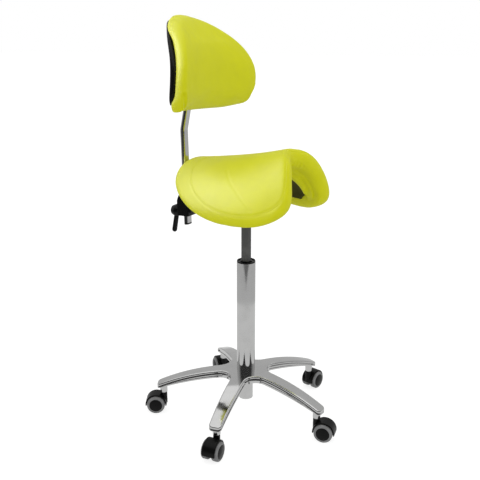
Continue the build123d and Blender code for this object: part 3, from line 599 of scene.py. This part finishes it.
def surface_of(*pieces: Piece) -> BVHTree:
    """Search tree of the faces of one or more meshes.

    Args:
        *pieces: The meshes' objects.

    Returns:
        The search tree.
    """
    corners: list[Vector] = []
    faces: list[list[int]] = []
    for piece in pieces:
        first = len(corners)
        corners += [vertex.co.copy() for vertex in piece.data.vertices]
        faces += [[first + index for index in face.vertices] for face in piece.data.polygons]
    return BVHTree.FromPolygons(corners, faces)


def distances(rows: np.ndarray, line: Sequence[Vector]) -> np.ndarray:
    """Distance of each vertex from the nearest point of a dense line.

    Args:
        rows: Vertex places.
        line: Points of the line, closer together than the distances that matter.

    Returns:
        One distance for each vertex.
    """
    tree = KDTree(len(line))
    for index, point in enumerate(line):
        tree.insert(point, index)
    tree.balance()
    return np.array([tree.find(row)[2] for row in rows])


def ease(values: np.ndarray, start: float, end: float) -> np.ndarray:
    """Smooth step from 0 at the start value to 1 at the end value."""
    share = np.clip((values - start) / (end - start), 0.0, 1.0)
    return share * share * (3.0 - 2.0 * share)


def dense(line: Sequence[Vector], step: float) -> list[Vector]:
    """Line with points no further apart than a step.

    Args:
        line: Corner points.
        step: Largest distance between two points.

    Returns:
        The denser line.
    """
    points = [line[0]]
    for start, end in zip(line, line[1:]):
        count = max(1, math.ceil((end - start).length / step))
        points += [start.lerp(end, index / count) for index in range(1, count + 1)]
    return points


def bead(name: str, loop: Sequence[Vector], radius: float) -> Piece:
    """Model a thin closed bead along a loop of points.

    Args:
        name: Name of the new piece.
        loop: Points of the closed loop.
        radius: Radius of the bead.

    Returns:
        The bead as a mesh.
    """
    bpy.ops.object.select_all(action="DESELECT")
    bpy.ops.mesh.primitive_circle_add(vertices=len(loop), fill_type="NOTHING")
    piece = bpy.context.object
    piece.name = name
    move_to(piece, np.array([tuple(point) for point in loop]))
    bpy.ops.object.convert(target="CURVE")
    piece.data.bevel_depth = radius
    piece.data.bevel_resolution = 2
    bpy.ops.object.convert(target="MESH")
    bpy.ops.object.shade_smooth()
    return piece


# Upholstery


@dataclass
class Upholstery:
    """A foam pad under a sewn cover, swollen from its solid by cloth simulation."""

    name: str
    node: str
    body: str
    voxel: float = 0.005
    shrink: float = 0.0
    pressure: float = 4.0
    frames: int = 20
    cap: float = 0.006
    fill: float = 0.8
    first_smoothing: int = 3
    last_smoothing: int = 2
    quick_share: float = 0.6
    lip_rise: float = 0.35
    lip_place: float = 1.5
    lip_width: float = 0.7

    def start(self, solid: Piece) -> Piece:
        """Copy the pad's solid into a new mesh of even faces, smaller by the shrink.

        Args:
            solid: The CAD node of the pad.

        Returns:
            The new piece.
        """
        piece = bpy.data.objects.new(self.name, solid.data.copy())
        bpy.context.scene.collection.objects.link(piece)
        with editing(piece):
            bpy.ops.mesh.remove_doubles(threshold=MERGE_DISTANCE)
        piece.data.remesh_voxel_size = self.voxel
        bpy.ops.object.voxel_remesh()
        with editing(piece):
            bpy.ops.mesh.vertices_smooth(factor=SMOOTHING, repeat=self.first_smoothing)
        move_to(piece, places(piece) - self.shrink * normals(piece))
        return piece

    def swell(self, piece: Piece, held: np.ndarray) -> None:
        """Blow the cover up over the foam while some of its vertices are held.

        Args:
            piece: The pad's mesh.
            held: True for each vertex that stays in place.
        """
        before = places(piece)
        select_only(piece)
        group = piece.vertex_groups.new(name="held")
        group.add([int(index) for index in np.flatnonzero(held)], 1.0, "REPLACE")
        cloth = piece.modifiers.new("swell", "CLOTH")
        cloth.settings.vertex_group_mass = "held"
        cloth.settings.use_pressure = True
        cloth.settings.uniform_pressure_force = self.pressure
        cloth.settings.effector_weights.gravity = 0.0
        cloth.point_cache.frame_end = self.frames
        for frame in range(1, self.frames + 1):
            bpy.context.scene.frame_set(frame)
        bpy.ops.object.modifier_apply(modifier=cloth.name)
        bpy.context.scene.frame_set(1)
        travel = places(piece) - before
        length = np.linalg.norm(travel, axis=1, keepdims=True) + TINY
        move_to(piece, before + travel * np.minimum(1.0, self.cap / length))

    def refine(self, piece: Piece) -> None:
        """Smooth the swollen cover and divide its faces once.

        Args:
            piece: The pad's mesh.
        """
        with editing(piece):
            bpy.ops.mesh.vertices_smooth(factor=SMOOTHING, repeat=self.last_smoothing)
        finer = piece.modifiers.new("finer", "SUBSURF")
        finer.levels = 1
        finer.render_levels = 1
        bpy.ops.object.modifier_apply(modifier=finer.name)
        bpy.ops.object.shade_smooth()

    def crease(self, piece: Piece, line: Sequence[Vector], depth: float, width: float) -> None:
        """Press a soft crease with raised lips into the cover.

        Args:
            piece: The pad's mesh.
            line: Points of the crease on the surface.
            depth: Depth of the crease.
            width: Distance from the middle of the crease to its lips.
        """
        rows = places(piece)
        away = distances(rows, dense(line, width / 3)) / width
        lips = self.lip_rise * np.exp(-(((away - self.lip_place) / self.lip_width) ** 2))
        rise = lips - np.exp(-(away**2))
        move_to(piece, rows + depth * rise[:, None] * normals(piece))

    def finish(self, piece: Piece, material: bpy.types.Material) -> None:
        """Args:
            piece: The pad's mesh.
            material: Its cover.
        """
        piece.data.materials.clear()
        piece.data.materials.append(material)
        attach(piece, self.body)
        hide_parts(self.node)
        LOG.info("%s has %d faces", piece.name, len(piece.data.polygons))


# Sub-assemblies


@dataclass
class Assembly:
    """A group of the stool's pieces that belong together."""

    nodes: Mapping[str, Piece]
    palette: Palette

    def paint(self, look: Look, names: Iterable[str]) -> None:
        """Give CAD nodes a finish.

        Args:
            look: The finish.
            names: Nodes that get it.
        """
        for name in names:
            for slot in self.nodes[name].material_slots:
                slot.material = self.palette[look]
            LOG.info("%s is %s", name, look.value)

    def build(self) -> None:
        """Model the pieces that the frame doesn't have."""

    def dress(self) -> None:
        """Give every carried-over node its finish."""
        raise NotImplementedError


@dataclass
class CasterBase(Assembly):
    """Five-arm base with its twin-wheel casters."""

    casters: int = 5

    def dress(self) -> None:
        """Polish the base and finish hoods, wheels and axles."""
        names = [f"caster_{number}" for number in range(1, self.casters + 1)]
        sides = [f"{name}_{side}" for name in names for side in ("left", "right")]
        self.paint(Look.CASTING, ["base_casting"])
        self.paint(Look.ZINC, ["caster_stems"])
        self.paint(Look.CASTER, [f"{name}_hood" for name in names])
        self.paint(Look.CASTER, [f"{side}_core" for side in sides])
        self.paint(Look.TREAD, [f"{side}_tyre" for side in sides])
        self.paint(Look.AXLE, [f"{name}_axle" for name in names])


@dataclass
class GasColumn(Assembly):
    """Column tube with the gas spring inside it."""

    def dress(self) -> None:
        """Plate the column and finish the spring's pieces."""
        self.paint(Look.CHROME, ["column_tube"])
        self.paint(Look.BLACK_PLASTIC, ["column_guide"])
        self.paint(Look.GREY_PAINT, ["pressure_cylinder"])
        self.paint(Look.BRIGHT, ["piston_rod", "release_button"])
        self.paint(Look.ZINC, ["rod_clip", "thrust_bearing"])


@dataclass(frozen=True)
class Rim:
    """A closed line round the saddle, set in from its edge."""

    angle: float
    rear: float
    pommel: float
    front: float
    centre: float = 0.071
    rear_power: float = 3.6
    front_power: float = 5.8

    def reach(self, share: float) -> Pair:
        """Rear and front place of the line.

        Args:
            share: Share of the line's angle, from -1 to 1.

        Returns:
            The rear and the front place along the seat.
        """
        size = min(abs(share), 1.0)
        rear = -self.centre + (self.rear + self.centre) * math.sqrt(1 - size**self.rear_power)
        bow = self.pommel + (self.front - self.pommel) * math.sin(math.pi / 2 * size)
        return rear, -self.centre - (bow - self.centre) * math.sqrt(1 - size**self.front_power)

    def stations(self, count: int) -> list[Pair]:
        """Place and angle of stations on the line.

        Args:
            count: Stations on the front half, and as many on the rear half.

        Returns:
            Place along the seat and angle from the ridge of each station.
        """
        shares = [math.sin(math.pi * index / count - math.pi / 2) for index in range(count)]
        front = [(self.reach(share)[1], self.angle * share) for share in shares]
        return front + [(self.reach(share)[0], -self.angle * share) for share in shares]

    def towards(self, other: Rim, share: float) -> Rim:
        """Line between this one and another, by a share."""
        ends = zip(astuple(self), astuple(other))
        return Rim(*(start + share * (end - start) for start, end in ends))


@dataclass
class SaddleSeat(Assembly):
    """Upholstered saddle with its shell, plate and height lever."""

    fan_height: float = 0.585
    outside_reach: float = 0.35
    underside_reach: float = 0.12
    underside: float = -0.15
    seam: Rim = Rim(81.0, 0.112, 0.119, 0.181)
    seam_stations: int = 150
    seam_step: float = 0.002
    seam_hold: float = 0.0035
    seam_groove: Pair = (0.0005, 0.004)
    bead_radius: float = 0.0007
    hem_outside: Rim = Rim(89.0, 0.140, 0.098, 0.160)
    hem_inside: Rim = Rim(87.5, 0.134, 0.058, 0.125, front_power=25.0)
    hem_stations: int = 110
    hem_rows: int = 9
    hem_lift: Pair = (-0.0012, 0.0036)
    hem_ends: Pair = (72.0, 84.0)
    hem_thickness: float = 0.0016
    hang: Triple = (0.0, -0.008, -0.011)
    hang_angles: Pair = (48.0, 84.0)
    hang_places: Pair = (0.03, -0.12)
    flap_crease: tuple[Pair, ...] = (
        (-0.004, -41.0), (-0.018, -48.0), (-0.035, -55.5), (-0.071, -66.5), (-0.101, -76.0)
    )
    flap_groove: Pair = (0.0005, 0.004)
    puckers: tuple[Triple, ...] = (
        (-0.130, 3.0, 0.128), (-0.131, 9.0, 0.130), (-0.132, 15.0, 0.130), (-0.134, 21.0, 0.130)
    )
    pucker_ends: Pair = (-0.008, 0.004)
    pucker_groove: Pair = (0.0011, 0.003)
    cover: Upholstery = field(
        default_factory=lambda: Upholstery("seat_upholstery", "seat_cushion", "seat")
    )

    def outwards(self, angle: float) -> Vector:
        """Direction out of the fan line at an angle from upright."""
        turn = math.radians(angle)
        return Vector((math.sin(turn), 0.0, math.cos(turn)))

    def on_line(self, place: float) -> Vector:
        """Point of the fan line at a place along the seat."""
        return Vector((0.0, place, self.fan_height))

    def on_cover(self, surface: BVHTree, place: float, angle: float) -> Vector:
        """Point of the cover's outside at a place along the seat and an angle from the ridge.

        Args:
            surface: Search tree of the cover.
            place: Distance behind the column's axis.
            angle: Angle from upright, positive to the sitter's left.

        Returns:
            The point.
        """
        away = self.on_line(place) + self.outside_reach * self.outwards(angle)
        found = surface.ray_cast(away, -self.outwards(angle))
        return found[0] or surface.find_nearest(away)[0]

    def under_cover(self, surface: BVHTree, place: float, angle: float, lift: float) -> Vector:
        """Point just under the seat at a place along it and an angle from the ridge.

        Args:
            surface: Search tree of the seat's underside.
            place: Distance behind the column's axis.
            angle: Angle from upright, positive to the sitter's left.
            lift: Distance of the point from the underside.

        Returns:
            The point, nearer to the fan line than the underside by the lift.
        """
        line = self.on_line(place)
        found = surface.ray_cast(line, self.outwards(angle))
        probe = line + self.underside_reach * self.outwards(angle)
        spot = found[0] or surface.find_nearest(probe)[0]
        return spot - lift * self.outwards(angle)

    def hang_flap(self, piece: Piece) -> None:
        """Let the left flap's front corner hang lower, as the photograph shows it.

        Args:
            piece: The cover's mesh.
        """
        rows = places(piece)
        angles = np.degrees(np.arctan2(rows[:, 0], rows[:, 2] - self.fan_height))
        share = ease(angles, *self.hang_angles) * ease(rows[:, 1], *self.hang_places)
        move_to(piece, rows + share[:, None] * np.array(self.hang))

    def sew_cover(self) -> Piece:
        """Model the saddle's cover with its seam, creases and puckers.

        Returns:
            The cover.
        """
        piece = self.cover.start(self.nodes["seat_cushion"])
        self.hang_flap(piece)
        surface = surface_of(piece)
        seam = [self.on_cover(surface, *station) for station in self.seam.stations(self.seam_stations)]
        rows = places(piece)
        sideways = rows * (1.0, 0.0, 1.0) - (0.0, 0.0, self.fan_height)
        sideways /= np.linalg.norm(sideways, axis=1, keepdims=True) + TINY
        below = (normals(piece) * sideways).sum(axis=1) < self.underside
        sewn = distances(rows, dense(seam + seam[:1], self.seam_step)) < self.seam_hold
        self.cover.swell(piece, below | sewn)
        self.cover.refine(piece)
        surface = surface_of(piece)
        stitched = [surface.find_nearest(point)[0] for point in seam + seam[:1]]
        self.cover.crease(piece, stitched, *self.seam_groove)
        surface = surface_of(piece)
        crease = [self.on_cover(surface, *station) for station in self.flap_crease]
        self.cover.crease(piece, crease, *self.flap_groove)
        for place, angle, radius in self.puckers:
            reaches = [radius + step for step in self.pucker_ends]
            ends = [self.on_line(place) + reach * self.outwards(angle) for reach in reaches]
            self.cover.crease(piece, [surface.find_nearest(end)[0] for end in ends], *self.pucker_groove)
        surface = surface_of(piece)
        trim = bead("seat_seam", [surface.find_nearest(point)[0] for point in seam], self.bead_radius)
        self.add_trim(trim)
        return piece

    def turn_hem(self, cover: Piece) -> Piece:
        """Model the cover's hem, turned under the seat over the edge of its shell.

        Args:
            cover: The saddle's cover.

        Returns:
            The hem.
        """
        surface = surface_of(cover, self.nodes["seat_shell"])
        count = 2 * self.hem_stations
        lines = []
        for row in range(self.hem_rows + 1):
            rim = self.hem_outside.towards(self.hem_inside, row / self.hem_rows)
            lift = self.hem_lift[1] if row > 1 else self.hem_lift[0]
            lines.append([])
            for place, angle in rim.stations(self.hem_stations):
                flush = float(ease(np.array(abs(angle)), *self.hem_ends))
                height = lift + flush * (self.hem_lift[0] - lift)
                lines[-1].append(self.under_cover(surface, place, angle, height))
        bpy.ops.object.select_all(action="DESELECT")
        bpy.ops.mesh.primitive_grid_add(x_subdivisions=count, y_subdivisions=self.hem_rows, size=1.0)
        piece = bpy.context.object
        piece.name = "seat_hem"
        grid = places(piece)
        columns = np.rint((grid[:, 0] + 0.5) * count).astype(int) % count
        levels = np.rint((grid[:, 1] + 0.5) * self.hem_rows).astype(int)
        move_to(piece, np.array([tuple(lines[level][column]) for level, column in zip(levels, columns)]))
        with editing(piece):
            bpy.ops.mesh.remove_doubles(threshold=MERGE_DISTANCE)
            bpy.ops.mesh.vertices_smooth(factor=SMOOTHING, repeat=1)
            bpy.ops.mesh.normals_make_consistent(inside=False)
        thick = piece.modifiers.new("thick", "SOLIDIFY")
        thick.thickness = self.hem_thickness
        thick.offset = 0.0
        bpy.ops.object.modifier_apply(modifier=thick.name)
        bpy.ops.object.shade_smooth()
        return piece

    def add_trim(self, piece: Piece) -> None:
        """Dress a trim of the cover and let it ride with the seat.

        Args:
            piece: The trim.
        """
        piece.data.materials.append(self.palette[Look.LIME])
        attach(piece, "seat")
        LOG.info("%s has %d faces", piece.name, len(piece.data.polygons))

    def build(self) -> None:
        """Model the saddle's cover, the bead in its seam and its hem."""
        cover = self.sew_cover()
        self.add_trim(self.turn_hem(cover))
        self.cover.finish(cover, self.palette[Look.LIME])

    def dress(self) -> None:
        """Finish the shell, the block and the mechanism under the seat."""
        # The shell gets painted shade: a dark olive for the seat's lime underside in deep shadow.
        self.paint(Look.LINING, ["seat_shell"])
        self.paint(Look.BLACK_PLASTIC, ["lever_grip"])
        self.paint(Look.PLYWOOD, ["seat_block"])
        self.paint(Look.BLACK_PAINT, ["cone_housing", "mounting_plate", "lever_rod"])
        self.paint(Look.ZINC, ["plate_bolts", "lever_pin"])


@dataclass
class BackrestSupport(Assembly):
    """Chromed bar with its clamp, clamping lever and support arm."""

    def dress(self) -> None:
        """Plate the bar and finish the clamp."""
        self.paint(Look.CHROME, ["backrest_bar"])
        self.paint(Look.BLACK_PLASTIC, ["clamp_body", "clamp_lever", "bar_plug"])
        self.paint(Look.BLACK_PAINT, ["support_arm", "back_bracket"])
        self.paint(Look.ZINC, ["clamp_stud", "back_screws"])


@dataclass
class Backrest(Assembly):
    """Upholstered backrest on its black shell."""

    rear_side: float = 0.35
    rear_level: float = 0.5
    rear_gain: float = 0.8
    wrap: float = 0.0095
    wrap_above: Pair = (0.995, 1.035)
    wrap_below: Pair = (0.885, 0.865)
    tilt: float = 0.035
    middle: float = 0.95
    sag: float = 0.012
    sag_corner: Pair = (0.075, 0.18)
    sag_below: Pair = (0.94, 0.872)
    corner_crease: tuple[Triple, ...] = (
        (0.170, 0.070, 0.884), (0.164, 0.072, 0.868), (0.152, 0.077, 0.853)
    )
    corner_groove: Pair = (0.0032, 0.005)
    cover: Upholstery = field(
        default_factory=lambda: Upholstery(
            "back_upholstery", "back_pad", "backrest", cap=0.0045, shrink=0.0022
        )
    )

    def wrap_edges(self, piece: Piece) -> None:
        """Pull the cover round the shell, tilt it a little and let its foot sag.

        Args:
            piece: The pad's mesh.
        """
        rows = places(piece)
        rear = np.clip(self.rear_level + self.rear_gain * normals(piece)[:, 1], 0.0, 1.0)
        ends = ease(rows[:, 2], *self.wrap_above) + ease(rows[:, 2], *self.wrap_below)
        rows[:, 1] += self.wrap * rear * ends
        sag = self.sag * ease(rows[:, 2], *self.sag_below) * (1.0 - ease(rows[:, 0], *self.sag_corner))
        rows[:, 2] -= sag
        turned = rows[:, [2, 1, 0]] - (self.middle, 0.0, 0.0)
        move_to(piece, rows + self.tilt * turned * (1.0, 0.0, -1.0))

    def build(self) -> None:
        """Model the backrest's cover."""
        piece = self.cover.start(self.nodes["back_pad"])
        self.wrap_edges(piece)
        self.cover.swell(piece, normals(piece)[:, 1] > self.rear_side)
        self.cover.refine(piece)
        surface = surface_of(piece)
        for side in (-1, 1):
            line = [surface.find_nearest((side * x, y, z))[0] for x, y, z in self.corner_crease]
            self.cover.crease(piece, line, *self.corner_groove)
        self.cover.finish(piece, self.palette[Look.LIME])

    def dress(self) -> None:
        """Finish the rear shell."""
        self.paint(Look.BLACK_PLASTIC, ["back_shell"])


# Studio


@dataclass(frozen=True)
class Softbox:
    """A square soft light that faces the stool, or only puts a sheen on some pieces."""

    name: str
    place: Triple
    size: float
    power: float
    sheen_on: tuple[str, ...] = ()

    def hang(self, aim: Vector) -> None:
        """Add the light.

        Args:
            aim: Point that the light faces.
        """
        lamp = bpy.data.lights.new(self.name, "AREA")
        lamp.energy = self.power
        lamp.size = self.size
        rig = bpy.data.objects.new(self.name, lamp)
        rig.location = self.place
        rig.rotation_euler = (aim - Vector(self.place)).to_track_quat("-Z", "Y").to_euler()
        bpy.context.scene.collection.objects.link(rig)
        if self.sheen_on:
            rig.visible_diffuse = False
            rig.light_linking.receiver_collection = bpy.data.collections.new(self.name)
            for name in self.sheen_on:
                rig.light_linking.receiver_collection.objects.link(bpy.data.objects[name])


@dataclass
class ReflectionCards:
    """Studio cards round the stool that only its reflections show."""

    far_side: Pair = (0.870, 0.492)
    front_right: Pair = (0.870, -0.492)
    corners: int = 96
    hub: float = 0.001
    ramp_scale: float = 0.25
    wall_radius: float = 3.6
    wall_height: float = 3.6
    wall_far: float = 0.55
    wall_near: float = 0.06
    wall_turn: Pair = (0.3, 0.62)
    paper_radius: float = 0.85
    paper_edge: float = 0.004
    paper: float = 0.74
    table_height: float = 0.0006
    table_radius: float = 1.75
    table_edge: float = 0.02
    table: float = 0.56
    room_dark: float = 0.03
    room_light: float = 0.62
    room_turn: Pair = (0.45, 0.8)
    tripod_radius: float = 1.08
    tripod_spread: float = 1.9
    tripod_edge: float = 0.006
    tripod_share: float = 0.7

    def bearing(self, graph: Graph, towards: Pair) -> tuple[Signal, Signal]:
        """Distance from the column and share of a direction in a card's place.

        Args:
            graph: The card's graph.
            towards: Level direction.

        Returns:
            The distance, and the cosine of the angle to the direction.
        """
        x, y, _ = graph.axes()
        away = (x * x + y * y).root().at_least(self.hub)
        return away, (x * towards[0] + y * towards[1]) / away

    def within(self, graph: Graph, away: Signal, radius: float, edge: float) -> Signal:
        """Share of a disc round the column in a card's place.

        Args:
            graph: The card's graph.
            away: Distance from the column.
            radius: Radius of the disc.
            edge: Width of its soft edge on the ramp.

        Returns:
            1 on the disc and 0 beyond its edge.
        """
        start = self.ramp_scale * radius
        return graph.ramp(away * self.ramp_scale, ((start, 1.0), (start + edge, 0.0)))

    @staticmethod
    def put_up(name: str, height: float) -> Graph:
        """Lift the card that was just added, and hide it from all but reflections.

        Args:
            name: Name of the card.
            height: Height that it is lifted by.

        Returns:
            The graph of its material, with the output still open.
        """
        bpy.ops.transform.translate(value=(0.0, 0.0, height))
        bpy.ops.object.transform_apply(location=True)
        card = bpy.context.object
        card.name = name
        material = bpy.data.materials.new(name)
        material.use_nodes = True
        material.node_tree.nodes.remove(material.node_tree.nodes["Principled BSDF"])
        card.data.materials.append(material)
        for ray in ("camera", "diffuse", "transmission", "volume_scatter", "shadow"):
            setattr(card, f"visible_{ray}", False)
        return Graph(material.node_tree)

    @staticmethod
    def shine(graph: Graph, level: Signal) -> None:
        """Let a card glow at a level from 0 to 1."""
        lamp = graph.add("ShaderNodeEmission", {}, {"Color": level})
        graph.feed(graph.tree.nodes["Material Output"].inputs["Surface"], lamp)

    def stand_wall(self) -> None:
        """Add the wall, dark on the camera's side and grey on the far side."""
        bpy.ops.object.select_all(action="DESELECT")
        size = {"radius": self.wall_radius, "depth": self.wall_height}
        bpy.ops.mesh.primitive_cylinder_add(vertices=self.corners, end_fill_type="NOTHING", **size)
        graph = self.put_up("wall_card", self.wall_height / 2)
        turn = self.bearing(graph, self.far_side)[1]
        stops = zip(self.wall_turn, (self.wall_near, self.wall_far))
        self.shine(graph, graph.ramp(0.5 + 0.5 * turn, tuple(stops)))

    def lay_table(self) -> None:
        """Add the table card: white paper, a greyer ring and the room beyond it."""
        bpy.ops.object.select_all(action="DESELECT")
        radius = self.wall_radius
        bpy.ops.mesh.primitive_circle_add(vertices=self.corners, radius=radius, fill_type="NGON")
        graph = self.put_up("table_card", self.table_height)
        away, turn = self.bearing(graph, self.front_right)
        stops = zip(self.room_turn, (self.room_dark, self.room_light))
        room = graph.ramp(0.5 + 0.5 * turn, tuple(stops))
        on_table = self.within(graph, away, self.table_radius, self.table_edge)
        on_paper = self.within(graph, away, self.paper_radius, self.paper_edge)
        step = (away - self.tripod_radius).at_least(0.0)
        aside = 1.0 + self.bearing(graph, self.far_side)[1]
        wedge = self.tripod_spread * step * step - aside
        tripod = graph.ramp(wedge, ((0.0, 0.0), (self.tripod_edge, 1.0)))
        table = self.table * (1.0 - self.tripod_share * tripod)
        beyond = on_table * table + (1.0 - on_table) * room
        self.shine(graph, on_paper * self.paper + (1.0 - on_paper) * beyond)

    def set_up(self) -> None:
        """Build both cards."""
        self.stand_wall()
        self.lay_table()


@dataclass
class Studio:
    """Pale floor, soft light and the camera at the photograph's angle."""

    camera_place: Triple = (-1.5367, -0.8683, 1.010)
    camera_turn: Triple = (73.93, 0.0, -60.0)
    lens: float = 52.35
    aim: Triple = (0.0, 0.0, 0.5)
    fill_light: float = 0.88
    floor_size: float = 80.0
    floor_colour: Colour = (0.86, 0.86, 0.86)
    floor_roughness: float = 0.9
    floor_glow: float = 1.35
    floor_glow_share: float = 0.6
    lights: tuple[Softbox, ...] = (
        Softbox("overhead_softbox", (-0.3, -0.4, 2.9), 2.4, 4.0),
        Softbox("sheen_softbox", (-1.5, 1.3, 2.4), 3.4, 600.0, COVERS),
    )

    def set_camera(self) -> None:
        """Add the camera and make it the scene's own."""
        camera = bpy.data.cameras.new("camera")
        camera.lens = self.lens
        rig = bpy.data.objects.new("camera", camera)
        rig.location = self.camera_place
        rig.rotation_euler = [math.radians(turn) for turn in self.camera_turn]
        bpy.context.scene.collection.objects.link(rig)
        bpy.context.scene.camera = rig

    @staticmethod
    def seen_rays(graph: Graph) -> Signal:
        """Tell the rays that a viewer sees by from those that only light.

        Args:
            graph: Graph of the floor or the world.

        Returns:
            1 for rays of the camera, of reflections and through glass, 0 for light.
        """
        seen = graph.add("ShaderNodeLightPath", {}, {}, "Is Camera Ray")
        rays = seen.socket.node.outputs
        for ray in ("Is Glossy Ray", "Is Transmission Ray"):
            seen = seen.at_least(Signal(graph, rays[ray]))
        return seen

    def lay_floor(self) -> None:
        """Add the pale floor."""
        bpy.ops.object.select_all(action="DESELECT")
        bpy.ops.mesh.primitive_plane_add(size=self.floor_size)
        floor = bpy.context.object
        floor.name = "studio_floor"
        material = bpy.data.materials.new("studio_floor")
        material.use_nodes = True
        graph = Graph(material.node_tree)
        paper = material.node_tree.nodes["Principled BSDF"]
        paper.inputs["Base Color"].default_value = (*self.floor_colour, 1.0)
        paper.inputs["Roughness"].default_value = self.floor_roughness
        paper.inputs["Specular IOR Level"].default_value = 0.0
        glow = graph.add("ShaderNodeEmission", {}, {"Strength": self.floor_glow})
        seen = self.seen_rays(graph)
        sockets = {0: self.floor_glow_share * seen, 1: Signal(graph, paper.outputs[0]), 2: glow}
        both = graph.add("ShaderNodeMixShader", {}, sockets)
        graph.feed(material.node_tree.nodes["Material Output"].inputs["Surface"], both)
        floor.data.materials.append(material)

    def light(self) -> None:
        """Add the soft lights and a world that the camera sees as white."""
        for softbox in self.lights:
            softbox.hang(Vector(self.aim))
        world = bpy.data.worlds.new("studio")
        world.use_nodes = True
        bpy.context.scene.world = world
        graph = Graph(world.node_tree)
        seen = self.seen_rays(graph)
        sky = world.node_tree.nodes["Background"]
        sky.inputs["Color"].default_value = (1.0, 1.0, 1.0, 1.0)
        graph.feed(sky.inputs["Strength"], self.fill_light + (1.0 - self.fill_light) * seen)

    def set_up(self) -> None:
        """Build the whole studio."""
        self.set_camera()
        self.lay_floor()
        self.light()
        ReflectionCards().set_up()
        bpy.context.scene.view_settings.view_transform = "Standard"


def main() -> None:
    """Load the frame, build the stool's soft pieces and dress everything."""
    logging.basicConfig(level=logging.INFO, format="%(name)s: %(message)s")
    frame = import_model()
    palette = Palette()
    for kind in (CasterBase, GasColumn, SaddleSeat, BackrestSupport, Backrest):
        assembly = kind(frame["nodes"], palette)
        assembly.build()
        assembly.dress()
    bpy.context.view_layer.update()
    Studio().set_up()


if __name__ == "__main__":
    main()
